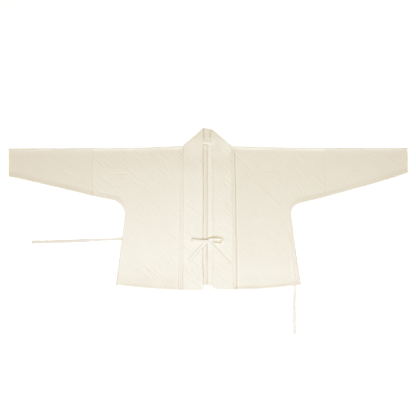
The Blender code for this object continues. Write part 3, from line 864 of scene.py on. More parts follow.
def seam_at(side, y):
    """The collar seam's x at each height: between the rows of the band's table, then on to the neck."""
    rows = BAND[side][::-1]
    corner = NECK_CORNER[side][0]
    heights = [row.y for row in rows] + [corner[1]]
    return np.interp(y, heights, [row.seam for row in rows] + [corner[0]])


def edge_at(side, y):
    """The x of the band's free edge at each height, as a smooth line through the rows of its table."""
    rows = BAND[side][::-1]
    heights = np.array([row.y for row in rows])
    place = np.interp(y, heights, np.arange(len(rows)))
    first = np.clip(place.astype(int), 0, len(rows) - 2)
    edges = np.array([row.edge for row in rows])
    return edges[first] + (edges[first + 1] - edges[first]) * eased(place - first)


def ridge_place(side, places):
    """How far each place is from the collar seam, its allowance's width there, and its fade at the neck."""
    x, y = places[:, 0], places[:, 1]
    width = np.interp(y, *zip(*RIDGE_WIDTH[side]))
    aside = abs(x - seam_at(side, y))
    return aside, width, eased((SHOULDER[side][0].y - y) / RIDGE_FADE)


def stitch_phase(y):
    return 2 * math.pi * y / PUCKER_PITCH + 1.0 * np.sin(y / 0.019) + 0.9 * np.sin(y / 0.047)


def groove(offset, half):
    """A soft line: 1 along its middle, where the offset is 0, and nearly 0 at twice its half width."""
    return np.exp(-((offset / half) ** 2))


def bead_rows(aside, width, phase, half):
    """The two rows of beads that the stitches draw up along the allowance."""
    near, far = (groove(aside - row * width, half) for row in BEAD_ROWS)
    return near * np.cos(phase) + far * np.cos(phase + BEAD_SHIFT)


def ridge_rise(side, places):
    """The collar seam's stitched allowance: a puffed strip, puckered between its lines of stitches."""
    aside, width, fade = ridge_place(side, places)
    phase = stitch_phase(places[:, 1])
    rise = RIDGE_RISE * eased((width - aside) / RIDGE_SLOPE)
    within = eased((width - aside) / RIDGE_SLOPE) * eased(aside / RIDGE_SLOPE)
    beads = bead_rows(aside, width, phase, 0.0024)
    middle = groove(aside - (0.5 + 0.07 * np.sin(phase)) * width, 0.0012)
    outer = groove(aside - width, 0.0016) * (0.9 + 0.3 * np.cos(phase + OUTER_SHIFT))
    seam = groove(aside, 0.0014) * (0.9 + 0.3 * np.cos(phase + SEAM_SHIFT))
    rise += within * RIDGE_PUCKER[side] * (beads - 0.9 * middle) * uneven(places, 0.02)
    rise -= RIDGE_GROOVE * (outer + seam)
    return fade * rise


def ridge_painted_shade(side, places):
    """The painted shade along the collar seam's lines of stitches, and the painted highlights on the beads
    between them and beside the strip.
    """
    aside, width, fade = ridge_place(side, places)
    phase = stitch_phase(places[:, 1])
    shades = RIDGE_SHADE[side]
    shade = shades.seam * groove(aside, 0.0018) * (1 + 0.35 * np.cos(phase + SEAM_SHIFT))
    outer = groove(aside - width, shades.outer_half)
    shade += shades.outer * outer * (1 + 0.14 * np.cos(phase + OUTER_SHIFT))
    shade -= 0.16 * groove(aside - width - 0.0058, 0.0036)
    middle = groove(aside - (0.5 + 0.09 * np.sin(phase)) * width, 0.0015)
    shade += shades.middle * middle * (1 + 0.5 * np.cos(2 * phase))
    beads = bead_rows(aside, width, phase, 0.0022)
    fainter_below = 1 - 0.5 * eased((-0.10 - places[:, 1]) / 0.08)
    shade -= shades.bead * beads * uneven(places, 0.02) * fainter_below
    return fade * shade * (shades.at_top + (1 - shades.at_top) * eased((0.16 - places[:, 1]) / 0.10))


def midway(y):
    """1 from the breast down to the tails of the bow, where the cloth is painted paler, and 0 beyond."""
    return eased((0.20 - y) / 0.07) * eased((y + 0.26) / 0.06)


def lower_front(y):
    """0 down to the knot of the bow, rising to 1 near the ends of its tails."""
    return eased((-0.16 - y) / 0.06)


def front_hem(side):
    return rounded([SIDE_EDGE[side][-1]] + FRONT_HEM[side])


def front_painted_shade(side, places):
    """The painted shade and painted highlights of the upper ply of a body half: shade along its seams, side
    edge and hem, and highlights on its top fold, hem edge and paler middle.
    """
    y = places[:, 1]
    shades = EDGE_SHADE[side]
    below = abs(past(places, body_fold(side)))
    from_edge = distance(places, rounded(SIDE_EDGE[side]), 0.03)
    from_hem = distance(places, front_hem(side), 0.03)
    shade = ridge_painted_shade(side, places) - shades.middle * midway(y)
    # Painted highlight along the top fold, then painted shade along the side edge, the hem and towards the
    # hem
    shade -= shades.rim * fading(below, 0.016) * uneven(places, 0.06)
    shade += shades.side * groove(from_edge - shades.inset, 0.0030) * eased((-0.08 - y) / 0.05)
    shade += 0.10 * groove(from_edge - 0.010, 0.008) * eased((y + 0.02) / 0.04)
    shade += shades.hem * groove(from_hem - 0.0085, 0.0060) * uneven(places, 0.05)
    shade += shades.zone * eased((-0.262 - y) / 0.05) * uneven(places, 0.03)
    # A painted highlight along the hem's very edge
    return shade - 0.20 * groove(from_hem - 0.002, 0.0022)


def hem_wave(x):
    """The small wave along the stitched hem of the back."""
    return np.sin(x / 0.0031 + 0.5)


def back_painted_shade(places):
    """The painted shade of the lower ply where it shows between the two fronts: along the centre seam,
    beside the left front's free edge and above the hem, with painted highlights beside the right front and
    below the band.
    """
    x, y = places[:, 0], places[:, 1]
    low = lower_front(y)
    x = x + 0.0007 * np.sin(y / 0.017 + 0.6) + 0.0004 * np.sin(y / 0.0063)
    shade = (CENTRE_SHADE - 0.14 * low) * groove(x - CENTRE_BACK + 0.0014, 0.0019 + 0.0033 * low)
    shade = shade * uneven(places, 0.03)
    for edge_side, painted_shading in (("left", LEFT_EDGE_SHADE), ("right", RIGHT_EDGE_SHADE)):
        shade += painted_shading * groove(x - edge_at(edge_side, y), 0.0030)
    # Painted highlights on strips of the back between the fronts, and just below the band behind the neck
    pale = groove(x - 0.0055, 0.0060) * (0.38 - 0.25 * low) + groove(x + 0.0165, 0.0030) * 0.20
    foot, _ = band_foot(x)
    shade -= pale * eased((foot - y) / 0.02)
    shade -= 0.28 * eased((y - foot + 0.022) / 0.01)
    shade *= eased((y - BACK_HEM - 0.004) / 0.010)
    return shade + 0.30 * groove(y - BACK_HEM - HEM_FOLD - 0.0028 - 0.0010 * hem_wave(x), 0.0022)


def tie_cover(places):
    """The lift of the right front over the inner tie."""
    rows = TIE_INNER_COVERED[::-1]
    y = np.minimum(places[:, 1], TIE_INNER_COVERED[0].y)
    aside = abs(places[:, 0] - np.interp(y, [row.y for row in rows], [row.x for row in rows]))
    above = eased((TIE_INNER_COVERED[0].y + 2 * TIE_COVER_SLOPE - places[:, 1]) / TIE_COVER_SLOPE)
    return TIE_COVER_RISE * above * eased((TIE_COVER_WIDTH + TIE_COVER_SLOPE - aside) / TIE_COVER_SLOPE)


def closing(edge_distance):
    """How far a ply has turned in at a sewn edge: 1 at the edge itself, with a round shoulder."""
    inward = np.clip(1 - edge_distance / EDGE_ROUND, 0, 1)
    return 1 - np.sqrt(1 - inward**2)


def sewn_edge(rise, edge_distance, meeting, closed):
    """The rise of a ply, brought to the level where both plies meet at a sewn edge."""
    share = closing(edge_distance) * closed
    return rise * (1 - share) + meeting * share


def seam_puff(places, edge_distance, along):
    """The allowance inside a sewn edge holds the ply up, with small puckers along it."""
    puff = SEAM_PUFF * fading(edge_distance, SEAM_PUFF_REACH) * uneven(places, 0.045)
    puckers = 0.00030 * fading(edge_distance, 0.010) * np.sin(along / 0.0021 + 1.2 * np.sin(along / 0.012))
    return puff + puckers


def with_fields(mesh, lay, fold):
    """Keeps each point's place on the flat cut, for the weave, and its painted shade.

    The painted shade runs from 1, deep in a fold, to -1, a painted highlight on a rim or a ridge.
    """
    spread = mesh.attributes.new("lay", "FLOAT_VECTOR", "POINT")
    spread.data.foreach_set("vector", raised(lay).ravel())
    painted_shading = mesh.attributes.new("fold", "FLOAT", "POINT")
    painted_shading.data.foreach_set("value", np.clip(fold, -1, 1))


def new_object(name, points, faces, lay, fold, finish):
    mesh = bpy.data.meshes.new(name)
    mesh.from_pydata(points.tolist(), [], faces)
    with_fields(mesh, lay, fold)
    mesh.shade_smooth()
    mesh.materials.append(finish)
    piece = bpy.data.objects.new(name, mesh)
    bpy.context.scene.collection.objects.link(piece)
    return piece


def cloth_piece(name, points, faces, lay, fold, wall, finish):
    """Makes an object of a surface at the middle of its cloth, with its thickness and soft edges."""
    piece = new_object(name, points, faces, lay, fold, finish)
    thickness = piece.modifiers.new("thickness", "SOLIDIFY")
    thickness.thickness = wall
    thickness.offset = 0
    soft = piece.modifiers.new("soft edges", "BEVEL")
    soft.width = 0.3 * wall
    soft.segments = 2
    soft.limit_method = "ANGLE"
    soft.angle_limit = math.radians(50)
    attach(piece, "root")
    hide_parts(name)
    return piece


def flat_area(places, faces):
    corners = places[np.array(faces)]
    first, second = corners[:, 1] - corners[:, 0], corners[:, 2] - corners[:, 0]
    return float(abs(first[:, 0] * second[:, 1] - first[:, 1] * second[:, 0]).sum() / 2)


def cut_piece(name, points, faces, lay, fold, finish):
    """A piece of the jacket's cotton. The area of its flat cut is worked out and not used."""
    piece = cloth_piece(name, points, faces, lay, fold, WALL, finish)
    flat_area(lay, faces)


def puffed(places, fold):
    """The rounding of the cloth up to a folded edge: steepest at the edge itself."""
    nearness = np.clip(1 + past(places, fold) / SHOULDER_PUFF_REACH, 0, 1)
    return SHOULDER_PUFF * nearness**2 * uneven(places, 0.05)


def band_foot(x):
    """The height of the band's lower edge behind the neck at each x, and how fully it covers a tuck."""
    (left_x, left_y), (right_x, right_y) = (NECK_CORNER[side][0] for side in SIDES)
    share = np.clip((x - left_x) / (right_x - left_x), 0, 1)
    arch = np.sin(math.pi * share)
    return left_y + (right_y - left_y) * share - NECK_DROP + NECK_RISE * arch, np.minimum(1, 4 * arch)


def body_front_rise(side, places, creases):
    """Everything that lifts or lowers the upper ply of a body half."""
    x, y = places[:, 0], places[:, 1]
    from_edge = distance(places, rounded(SIDE_EDGE[side]))
    from_hem = distance(places, front_hem(side))
    underarm = eased((y + 0.02) / 0.08)
    rise = crease_rise(places, creases) + ridge_rise(side, places)
    rise += puffed(places, body_fold(side))
    rise += seam_puff(places, from_edge, x + y) * (0.35 + 0.65 * underarm)
    rise += HEM_RISE * eased((HEM_FOLD - from_hem) / HEM_SLOPE)
    rise += 0.0005 * fading(from_hem, 0.05) * (uneven(places, 0.03) - 0.6)
    rise -= SEAM_DIP * fading(abs(x - seam_at(side, y)), SEAM_DIP_REACH)
    rise -= SEAM_DIP * fading(abs(x - SHOULDER[side][1].x), SEAM_DIP_REACH)
    closed = np.ones(len(places))
    if side == "right":
        rise += tie_cover(places)
    else:
        closed -= fading(abs(y - TIE_SIDE[0].y), 1.2 * SIDE_TIE_WIDTH)
    return sewn_edge(rise, from_edge, -PLY_MEETING, closed)


def body_back_rise(side, places, creases):
    """The lower ply rests flat but for soft creases, its hem and its sewn edges."""
    x, y = places[:, 0], places[:, 1]
    from_edge = distance(places, rounded(SIDE_EDGE[side]))
    wobble = 0.0011 * hem_wave(x) + 0.0007 * np.sin(x / 0.0013)
    rise = abs(crease_rise(places, creases))
    rise += 1.6 * HEM_RISE * eased((HEM_FOLD + wobble - (y - BACK_HEM)) / 0.0014)
    return sewn_edge(rise, from_edge, PLY_MEETING, 1.0)


def body_top(side):
    """Where a half's top fold starts at the neck and ends at the sleeve, and the collar seam's x there."""
    neck, seam = flat(SHOULDER[side][0]), flat(SHOULDER[side][1])
    lift = body_fold(side).place - neck
    along = unit(neck - seam)
    start_x = seam_at(side, neck[1]) + OUTWARD[side] * SEAM_GAP
    at_neck = neck + lift + along * ((start_x - neck[0]) / along[0])
    at_sleeve = seam + lift - np.array((OUTWARD[side] * SEAM_GAP / 2, 0))
    return BodyTop(at_neck, at_sleeve, start_x)


def back_centre(side):
    """The x at which a half's back ends, and the fold of its allowance, which only the left half has."""
    if side == "right":
        return CENTRE_BACK + SEAM_GAP, None
    start = np.array((CENTRE_BACK - ALLOWANCE_TURN - WALL / 2, 0))
    allowance = Fold(start, np.array((1.0, 0.0)), ALLOWANCE_TURN, 1)
    return start[0] + math.pi * ALLOWANCE_TURN + ALLOWANCE_WIDTH, allowance


def allowance_rows(allowance, neckline):
    """Upright rows of points across the allowance's roll."""
    rows = []
    for step in range(ROLL_STEPS + 1):
        x = allowance.place[0] + math.pi * ALLOWANCE_TURN * step / ROLL_STEPS
        rows.append(spaced([[x, BACK_HEM], [x, neckline]], NOTCH_CELL))
    return rows


def body_cut(side, top, centre, allowance):
    """A half's flat cut, round its front, over the roll and round its back, as points and triangles."""
    fold, outward = body_fold(side), OUTWARD[side]
    rows, (neck_roll, sleeve_roll) = roll_rows(fold, top.neck, top.sleeve, FINE_CELL)
    edge = rounded(SIDE_EDGE[side])
    edge[0, 0] -= outward * SEAM_GAP / 2
    hem = front_hem(side)
    sleeve_seam = [edge[0], top.sleeve]
    heights = spaced([[0, top.neck[1]], [0, hem[-1, 1]]], FINE_CELL)[:, 1]
    collar = np.stack([seam_at(side, heights) + outward * SEAM_GAP, heights], 1)
    collar[0], collar[-1] = top.neck, hem[-1]

    across = np.linspace(centre, top.neck[0] - outward * NECKLINE_INSET, NECKLINE_POINTS)
    foot, full = band_foot(across)
    tucked = np.column_stack([across, foot + NECK_TUCK * full])
    neckline = tucked[0, 1]
    centre_line = opened([[centre, BACK_HEM], [centre, neckline]], fold)
    back_neck = opened(np.concatenate([tucked, [top.neck - (0, SEAM_GAP)]]), fold)
    back_edge = opened(edge, fold)
    back_hem = opened([edge[-1], (centre, BACK_HEM)], fold)
    edges = [
        collar, spaced(hem[::-1], FINE_CELL), spaced(edge[::-1], FINE_CELL),
        spaced(sleeve_seam, FINE_CELL), sleeve_roll,
        spaced([sleeve_roll[-1], back_edge[0]], BACK_STEP), spaced(back_edge, BACK_STEP),
        spaced(back_hem, BACK_STEP), spaced(centre_line, NOTCH_CELL), spaced(back_neck, BACK_STEP),
        np.array([back_neck[-1], neck_roll[-1]]), neck_roll[::-1],
    ]
    ridge = max(width for _, width in RIDGE_WIDTH[side]) + 2 * RIDGE_SLOPE
    zones = [
        Zone(collar[::4], [*COLLAR_INSETS, *np.arange(COLLAR_ROWS_FROM, ridge, COLLAR_ROW)], STITCH_CELL),
        Zone(hem, HEM_INSETS, FINE_CELL),
        Zone(edge, EDGE_INSETS, FINE_CELL),
        Zone(sleeve_seam, SEAM_INSETS, FINE_CELL),
        Zone(back_edge, BACK_INSETS, BACK_STEP),
        Zone(back_hem, BACK_HEM_INSETS, BACK_STEP),
    ]
    if allowance:
        rows += [opened(row, fold) for row in allowance_rows(allowance, neckline)]

    def on_back(places):
        return past(places, fold) > math.pi * TURN

    def in_notch(places):
        return abs(turned(raised(places), fold)[:, 0] - CENTRE_BACK) < NOTCH_HALF

    cells = [
        (FINE_CELL, lambda places: past(places, fold) < 0),
        (NOTCH_CELL, lambda places: on_back(places) & in_notch(places)),
        (COARSE_CELL, lambda places: on_back(places) & ~in_notch(places)),
    ]
    return divided(edges, zones, rows, cells)


def turn_allowance(points, allowance, under):
    """Turns the centre back's allowance over, among the points that lie under, and lifts its edge."""
    reach = past(points[:, :2], allowance) - math.pi * ALLOWANCE_TURN
    tilt = ALLOWANCE_LIFT * np.clip(reach / ALLOWANCE_WIDTH, 0, 1) * uneven(points[:, 1::-1], 0.03)
    points[under] = turned(points, allowance)[under]
    points[under, 2] += tilt[under]


def settle(side, points, upper):
    """Lets the top edge sag between its ends, and the back's hem slant where it shows at the notch."""
    neck, seam = SHOULDER[side][:2]
    share = np.clip((points[:, 0] - neck.x) / (seam.x - neck.x), 0, 1)
    near_top = fading(abs(past(points[:, :2], body_fold(side))), SHOULDER_SAG_REACH)
    points[:, 1] -= SHOULDER_SAG[side] * np.sin(math.pi * share) * near_top
    slant = fading(points[:, 1] - BACK_HEM, 0.05) * eased((points[:, 0] + 0.025) / 0.030)
    points[:, 1] -= BACK_HEM_SLANT * slant * (1 - upper) * fading(abs(points[:, 0]), 0.10)


def creased(side, seeds, across, fine, soft):
    """The creases of a piece's upper ply, and the soft swells of its lower one."""
    return CREASES[side] + crinkles(seeds[0], across, fine), crinkles(seeds[1], across, soft)


def folded(lay, fold):
    """The cut turned over its fold, and each point's share of the upper ply."""
    points = turned(raised(lay, FRONT_Z), fold)
    return points, (points[:, 2] - BACK_Z) / (2 * TURN)


def make_body(side, finish):
    """One half of the body. Its front ends at the collar seam, and its back at the centre back."""
    fold, top, outward = body_fold(side), body_top(side), OUTWARD[side]
    centre, allowance = back_centre(side)
    lay, faces = body_cut(side, top, centre, allowance)
    span = (min(centre, outward * BODY_REACH), max(0, outward * BODY_REACH))
    fine, soft = creased(side, BODY_SEEDS[side], span, BODY_CRINKLES, BODY_SWELLS)
    points, upper = folded(lay, fold)
    above = past(lay, fold)
    inside_neck = outward * lay[:, 0] < outward * top.start_x - NECK_INSIDE
    behind_neck = inside_neck & (above < math.pi * TURN) & (above > -NECK_REACH)
    points[behind_neck, :2] = opened(lay, fold)[behind_neck]
    points[behind_neck, 2] = BACK_Z
    upper[behind_neck] = 0.0
    front = body_front_rise(side, points[:, :2], fine)
    back = body_back_rise(side, points[:, :2], soft)
    points[:, 2] += upper * front + (1 - upper) * back
    if allowance:
        turn_allowance(points, allowance, (above > 0) | behind_neck)
    settle(side, points, upper)
    # The painted shade and painted highlights of both plies
    painted_shading = upper * front_painted_shade(side, points[:, :2]) + (1 - upper) * back_painted_shade(points[:, :2])
    cut_piece("body_" + side, points, faces, lay, painted_shading, finish)


def sleeve_front_rise(side, places, creases):
    seam, cuff = SHOULDER[side][1:]
    x, y = places[:, 0], places[:, 1]
    from_edge = distance(places, rounded(SLEEVE_EDGE[side]))
    from_cuff = abs(cuff.x - x)
    rise = crease_rise(places, creases)
    rise += puffed(places, sleeve_top(side))
    rise += seam_puff(places, from_edge, x + y)
    rise += HEM_RISE * eased((CUFF_FOLD - from_cuff) / HEM_SLOPE)
    rise += 0.0007 * fading(from_cuff, 0.04) * (uneven(places, 0.03) - 0.5)
    rise -= SEAM_DIP * fading(abs(x - seam.x), SEAM_DIP_REACH)
    return sewn_edge(rise, from_edge, -PLY_MEETING, 1.0)


def sleeve_painted_shade(side, places):
    """The painted shade of a sleeve's upper ply along its seam and its sewn lower edge, and painted
    highlights along its top fold and the edge itself.
    """
    below = abs(past(places, sleeve_top(side)))
    from_edge = distance(places, rounded(SLEEVE_EDGE[side]), 0.04)
    shade = 0.15 * groove(places[:, 0] - SHOULDER[side][1].x, 0.0012)
    shade -= 0.55 * fading(below, 0.011) * uneven(places, 0.06)
    shade += 0.11 * groove(from_edge - 0.0115, 0.0075) * uneven(places, 0.05)
    return shade - 0.25 * groove(from_edge - 0.001, 0.0016)


def make_sleeve(side, finish):
    """The sleeve from its seam on the upper arm to the cuff."""
    outward, fold = OUTWARD[side], sleeve_top(side)
    seam, cuff = flat(SHOULDER[side][1]), flat(SHOULDER[side][2])
    lift = fold.place - seam
    seam_top = seam + lift + np.array((outward * SEAM_GAP / 2, 0))
    cuff_top = cuff + lift
    rows, (seam_roll, cuff_roll) = roll_rows(fold, seam_top, cuff_top, FINE_CELL)
    edge = rounded(SLEEVE_EDGE[side])
    edge[-1, 0] += outward * SEAM_GAP / 2
    back_edge = opened(edge, fold)
    seam_line, cuff_line = [seam_top, edge[-1]], [edge[0], cuff_top]
    edges = [
        spaced(seam_line, FINE_CELL), spaced(edge[::-1], FINE_CELL),
        spaced(cuff_line, FINE_CELL), cuff_roll,
        spaced([cuff_roll[-1], back_edge[0]], BACK_STEP), spaced(back_edge, BACK_STEP),
        spaced([back_edge[-1], seam_roll[-1]], BACK_STEP), seam_roll[::-1],
    ]
    zones = [
        Zone(edge, EDGE_INSETS, FINE_CELL),
        Zone(seam_line, SEAM_INSETS, FINE_CELL),
        Zone(cuff_line, CUFF_INSETS, FINE_CELL),
        Zone(back_edge, BACK_INSETS, BACK_STEP),
    ]
    cells = [
        (FINE_CELL, lambda places: past(places, fold) < 0),
        (COARSE_CELL, lambda places: past(places, fold) > math.pi * TURN),
    ]
    lay, faces = divided(edges, zones, rows, cells)
    span = sorted((seam[0], cuff[0]))
    fine, soft = creased(side, SLEEVE_SEEDS[side], span, SLEEVE_CRINKLES, SLEEVE_SWELLS)
    points, upper = folded(lay, fold)
    places = points[:, :2]
    back = sewn_edge(abs(crease_rise(places, soft)), distance(places, edge), PLY_MEETING, 1.0)
    points[:, 2] += upper * sleeve_front_rise(side, places, fine) + (1 - upper) * back
    cut_piece("sleeve_" + side, points, faces, lay, upper * sleeve_painted_shade(side, places), finish)


def band_shares():
    """Where the band's lengthwise lines lie, as shares of its width: closer at both edges."""
    start, end = BAND_SEAM_INSETS[-1], BAND_WIDTH - BAND_EDGE_INSETS[0]
    between = np.linspace(start, end, round(BAND_WIDTH / BAND_STEP))[1:-1]
    near_edge = [BAND_WIDTH - inset for inset in BAND_EDGE_INSETS]
    return np.array([*BAND_SEAM_INSETS, *between, *near_edge]) / BAND_WIDTH


def neck_lift(share, height):
    """How far the band stands up at its free edge near the neck, where it turns over the back."""
    climb = eased((height - NECK_LIFT_START) / (NECK_LIFT_END - NECK_LIFT_START))
    return NECK_LIFT * climb * fading((1 - share) * BAND_WIDTH, NECK_LIFT_REACH)


def band_line(seam, edge, shares):
    return seam + np.outer(shares, edge - seam)


def leg_rows(side, corner, shares):
    """The band up one front, from the hem to where it starts to turn at the neck."""
    rows = []
    bottom, top = BAND[side][-1], BAND[side][0]
    steps = round((top.y - bottom.y) / BAND_STEP)
    for step in range(steps + 1):
        y = bottom.y + (top.y - bottom.y) * step / steps
        drop = (FRONT_HEM[side][-1].y - bottom.y) * (1 - step / steps) ** BAND_HEM_CURVE
        seam = np.array((seam_at(side, y), y + drop))
        edge = np.array((edge_at(side, y), y))
        rows.append(raised(band_line(seam, edge, shares), BAND_FRONT_Z))
    last = rows[-1]
    for step in range(1, FAN_ROWS):
        rows.append(last + (corner - last) * step / FAN_ROWS)
    return np.array(rows)


def leg_rise(side, leg, shares, creases):
    """Lifts one front of the band into its creases, its hem and its raised free edge."""
    count = len(leg)
    number = np.repeat(np.arange(count), len(shares))
    share = np.tile(shares, count)
    places = leg[:, :, :2].reshape(-1, 2)
    from_edge = (1 - share) * BAND_WIDTH
    rise = crease_rise(places, creases) - SEAM_DIP * fading(share * BAND_WIDTH, SEAM_DIP_REACH)
    rise += HEM_RISE * eased((HEM_FOLD - number * BAND_STEP) / 0.0016)
    rise += BAND_EDGE_LIFT * fading(from_edge, 0.012) * uneven(places, 0.035)
    rise += neck_lift(share, places[:, 1]) * (number < count - FAN_ROWS)
    leg[:, :, 2] += (rise * np.minimum(1.0, (count - number) / FAN_ROWS)).reshape(count, -1)
    cut_back, reach = BAND_CORNER[side]
    rounding = cut_back * fading(from_edge, reach) * fading(number * BAND_STEP, 0.012)
    leg[:, :, 1] += rounding.reshape(count, -1)


def corner_rows(side, shares):
    """The band's roll over its fold at one corner of the neck, from the front down to the back."""
    seam, edge = (np.array(place) for place in NECK_CORNER[side])
    out = upward(unit(edge - seam))
    line = band_line(seam, edge, shares)
    radius = BAND_TURN + neck_lift(shares, line[:, 1]) / 2
    line = line - np.outer(radius + BAND_WALL / 2, out)
    rows = []
    for step in range(CORNER_STEPS + 1):
        angle = math.pi * step / CORNER_STEPS
        place = line + np.outer(radius * math.sin(angle), out)
        rows.append(np.column_stack([place, BAND_BACK_Z + radius * (1 + math.cos(angle))]))
    return rows


def neck_rows(left, right, shares):
    """The band behind the neck: straight along its top, with a soft ridge near its seam."""
    rows = []
    inset, from_edge = shares * BAND_WIDTH, (1 - shares) * BAND_WIDTH
    tip = BAND_TURN + NECK_LIFT / 2 + BAND_WALL / 2
    for step in range(1, NECK_ROWS):
        share = step / NECK_ROWS
        row = left + (right - left) * share
        arch = math.sin(math.pi * share)
        row[:, 1] += NECK_RISE * arch * (1 - shares)
        row[:, 1] += tip * min(1, 6 * arch) * fading(from_edge, 0.030)
        x = row[:, 0]
        off_middle = abs(x - NECK_MIDDLE)
        swell = eased(1 - off_middle / NECK_OPENING) * eased((inset - 0.018) / 0.030)
        beyond = inset - RIDGE_INSET - RIDGE_SLANT * (x - RIDGE_MIDDLE)
        ridge = eased(beyond / 0.0085 + 0.5) * fading(beyond, 0.050) * eased((0.034 - off_middle) / 0.010)
        tucked = eased(1 - inset / 0.006) * min(1, 4 * arch)
        row[:, 2] += NECK_BULGE * swell + NECK_RIDGE * ridge + NECK_TUCK_LIFT * tucked
        rows.append(row)
    return rows


def make_collar(finish):
    """The band, up the left front, round the back of the neck and down the right front."""
    shares = band_shares()
    count = len(shares)
    corners = {side: corner_rows(side, shares) for side in SIDES}
    creases = CREASES["band"] + crinkles(BAND_SEED, BAND_ACROSS, BAND_CRINKLES)
    legs = {}
    for side in SIDES:
        leg = leg_rows(side, corners[side][0], shares)
        leg_rise(side, leg, shares, creases)
        legs[side] = list(leg)
    neck = neck_rows(corners["left"][-1], corners["right"][-1], shares)
    rows = legs["left"] + corners["left"] + neck + corners["right"][::-1] + legs["right"][::-1]
    points = np.concatenate(rows)
    faces = []
    for row in range(len(rows) - 1):
        for first in range(row * count, row * count + count - 1):
            faces.append((first, first + 1, first + count + 1, first + count))
    run = run_along(np.array([row[count // 2] for row in rows]))
    lay = np.column_stack([np.tile(shares * BAND_WIDTH, len(rows)), np.repeat(run, count)])
    painted_shading = collar_painted_shade(points, np.tile(shares, len(rows)), len(legs["left"]), len(neck), count)
    piece = cloth_piece("collar_band", points, faces, lay, painted_shading, BAND_WALL, finish)


def collar_painted_shade(points, share, leg_count, neck_count, count):
    """The painted shade of the band along its free edges, its seams and the folds behind the neck, and
    painted highlights midway, near the neck corners and on the ridge behind the neck.
    """
    x, y = points[:, 0], points[:, 1]
    number = np.arange(len(points)) // count
    past_neck = leg_count + neck_count + 2 * CORNER_STEPS
    behind = (number > leg_count) & (number < past_neck)
    from_edge = (1 - share) * BAND_WIDTH
    shade = np.zeros(len(points))
    for (line_x, low, high, painted_shading) in NECK_SHADES:
        down = eased((y - low) / 0.014) * eased((high - y) / 0.006)
        shade += behind * painted_shading * groove(x - line_x, 0.0029) * down
    on_left = number <= leg_count
    on_right = number >= past_neck
    upper = eased((y - 0.282) / 0.014)
    shade += on_left * (0.24 + 0.30 * upper) * groove(from_edge, 0.0014 + 0.0012 * upper)
    low = lower_front(y)
    shade += on_right * (0.24 - 0.18 * upper) * groove(from_edge - 0.0030 + 0.0034 * low, 0.0028)
    near_corner = eased((y - 0.195) / 0.070) * eased((0.318 - y) / 0.040)
    for side, here in (("left", on_left), ("right", on_right)):
        middle, corner = BAND_PAINTED_PALE[side]
        shade -= here * (middle * midway(y) + corner * near_corner * uneven(points, 0.025))
    inset = share * BAND_WIDTH
    middle = RIDGE_INSET + RIDGE_SLANT * (x - RIDGE_MIDDLE)
    in_opening = eased((NECK_OPENING - abs(x - NECK_MIDDLE)) / 0.006)
    shade -= behind * 1.4 * groove(inset - middle - 0.0008, 0.0054) * in_opening
    shade += (0.10 + 0.16 * on_left * midway(y)) * groove(inset, 0.0015) * ~behind
    return shade


def smooth_route(bends):
    """Points along a smooth curve through the bends, about a tape step apart."""
    table = np.array(bends)
    route = []
    for number in range(len(table) - 1):
        before, start = table[max(number - 1, 0)], table[number]
        end, after = table[number + 1], table[min(number + 2, len(table) - 1)]
        steps = max(3, round(math.dist(start[:3], end[:3]) / TAPE_STEP))
        for step in range(steps):
            share = step / steps
            route.append((
                before * (-share + 2 * share**2 - share**3)
                + start * (2 - 5 * share**2 + 3 * share**3)
                + end * (share + 4 * share**2 - 3 * share**3)
                + after * (-share**2 + share**3)) / 2)
    return np.array(route + [table[-1]])


def tube_faces(rings, count):
    """The faces between rings of points, and one over each end."""
    faces = [tuple(range(count))]
    for ring in range(rings - 1):
        for corner in range(count):
            following = (corner + 1) % count
            faces.append((
                ring * count + corner, (ring + 1) * count + corner,
                (ring + 1) * count + following, ring * count + following))
    faces.append(tuple(reversed(range((rings - 1) * count, rings * count))))
    return faces


def make_tape(name, tape, finish):
    """A folded and stitched cotton tape laid along its route, turned as each bend says."""
    route = smooth_route(tape.bends)
    width = tape.width
    heading, lean = np.radians(route[:, 3]), np.radians(route[:, 4])
    across = np.stack([np.cos(heading) * np.cos(lean), np.sin(heading) * np.cos(lean), np.sin(lean)], 1)
    middle = route[:, :3].copy()
    lowest = across[:, 2] * width / 2 + TAPE_WALL / 2 + TAPE_CLEARANCE
    middle[:, 2] = np.maximum(middle[:, 2], lowest)
    ahead = np.gradient(middle, axis=0)
    up = units(np.cross(ahead, across))
    run = run_along(middle)
    breadth = 1 + 0.025 * np.sin(run / 0.011) + 0.02 * np.sin(run / 0.0043 + 1)
    breadth -= CRUSH * np.sin(lean) ** 2
    points, lay, fold = [], [], []
    for number in range(len(middle)):
        from_end = min(run[number], run[-1] - run[number])
        plump = math.sqrt(min(1.0, 0.25 + from_end / 0.0016))
        for aside, above in TAPE_SECTION:
            half = width / 2 * breadth[number]
            points.append(middle[number] + across[number] * aside * half
                          + up[number] * above * plump * TAPE_WALL / 2)
            lay.append((aside * half, run[number]))
            # The fold values paint shade along the tape's edges, at its ends and where a bend asks, and a
            # painted highlight where below 0
            edge = tape.upper if aside > 0 else tape.lower
            strength = 1.0 if run[number] > tape.loop * run[-1] else LOOP_RIM
            rim = float(eased((abs(aside) - RIM_START) / RIM_REACH)) * strength
            painted_shading = edge * rim + tape.middle * (1 - rim) + route[number, 5]
            fold.append(painted_shading + TAPE_END_SHADE * float(fading(from_end, 0.004)))
    faces = tube_faces(len(middle), len(TAPE_SECTION))
    piece = new_object(name, np.array(points), faces, np.array(lay), np.array(fold), finish)
    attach(piece, "root")
    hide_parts(name)


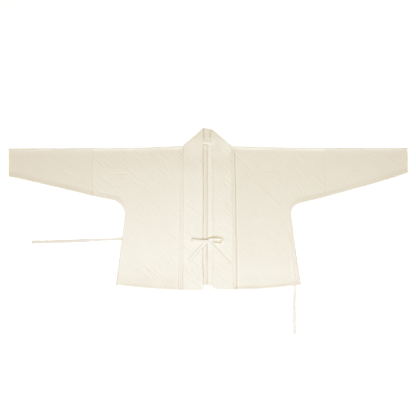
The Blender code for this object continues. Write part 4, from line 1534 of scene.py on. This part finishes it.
def add_camera():
    data = bpy.data.cameras.new("view from above")
    data.sensor_width = SENSOR
    data.lens = SENSOR * VIEW_HEIGHT / VIEW_WIDTH
    camera = bpy.data.objects.new("view from above", data)
    camera.location = (*VIEW_CENTRE, VIEW_HEIGHT)
    bpy.context.scene.collection.objects.link(camera)
    bpy.context.scene.camera = camera


def add_lamps():
    for lamp in LAMPS:
        data = bpy.data.lights.new(lamp.name, "AREA")
        data.shape = "DISK"
        data.size = lamp.size
        data.energy = lamp.power
        data.color = lamp.colour
        holder = bpy.data.objects.new(lamp.name, data)
        holder.location = lamp.place
        heading = Vector(lamp.aim) - Vector(lamp.place)
        holder.rotation_euler = heading.to_track_quat("-Z", "Y").to_euler()
        bpy.context.scene.collection.objects.link(holder)
    sky = bpy.data.worlds.new("studio")
    sky.use_nodes = True
    background = sky.node_tree.nodes["Background"]
    background.inputs["Color"].default_value = (*SKY, 1.0)
    background.inputs["Strength"].default_value = SKY_STRENGTH
    bpy.context.scene.world = sky
    bpy.context.scene.view_settings.view_transform = "Standard"


def add_floor():
    bpy.ops.object.select_all(action="DESELECT")
    bpy.ops.mesh.primitive_plane_add(size=FLOOR_SIZE, location=(0, 0, -FLOOR_DROP))
    bpy.ops.object.transform_apply(location=True, rotation=True, scale=True)
    floor = bpy.context.active_object
    floor.name = "floor"
    floor.data.materials.append(pale_floor("pale_floor"))


def main():
    add_camera()
    tape_cotton = woven_cotton("tape_cotton", (TAPE_DEEP, TAPE_COTTON, TAPE_COTTON), YARN * 0.8)
    bow_cotton = woven_cotton("bow_cotton", (COTTON, BOW_COTTON, BOW_COTTON), YARN * 0.8)
    for name, tape in TAPES.items():
        make_tape(name, tape, bow_cotton if name.startswith("bow") else tape_cotton)
    cotton = woven_cotton("jacket_cotton", (COTTON_DEEP, COTTON, COTTON_PALE), YARN)
    band_cotton = woven_cotton("band_cotton", (COTTON_DEEP, COTTON, COTTON_PALE), YARN)
    for side in SIDES:
        make_body(side, cotton)
        make_sleeve(side, cotton)
    make_collar(band_cotton)
    add_lamps()
    add_floor()


main()
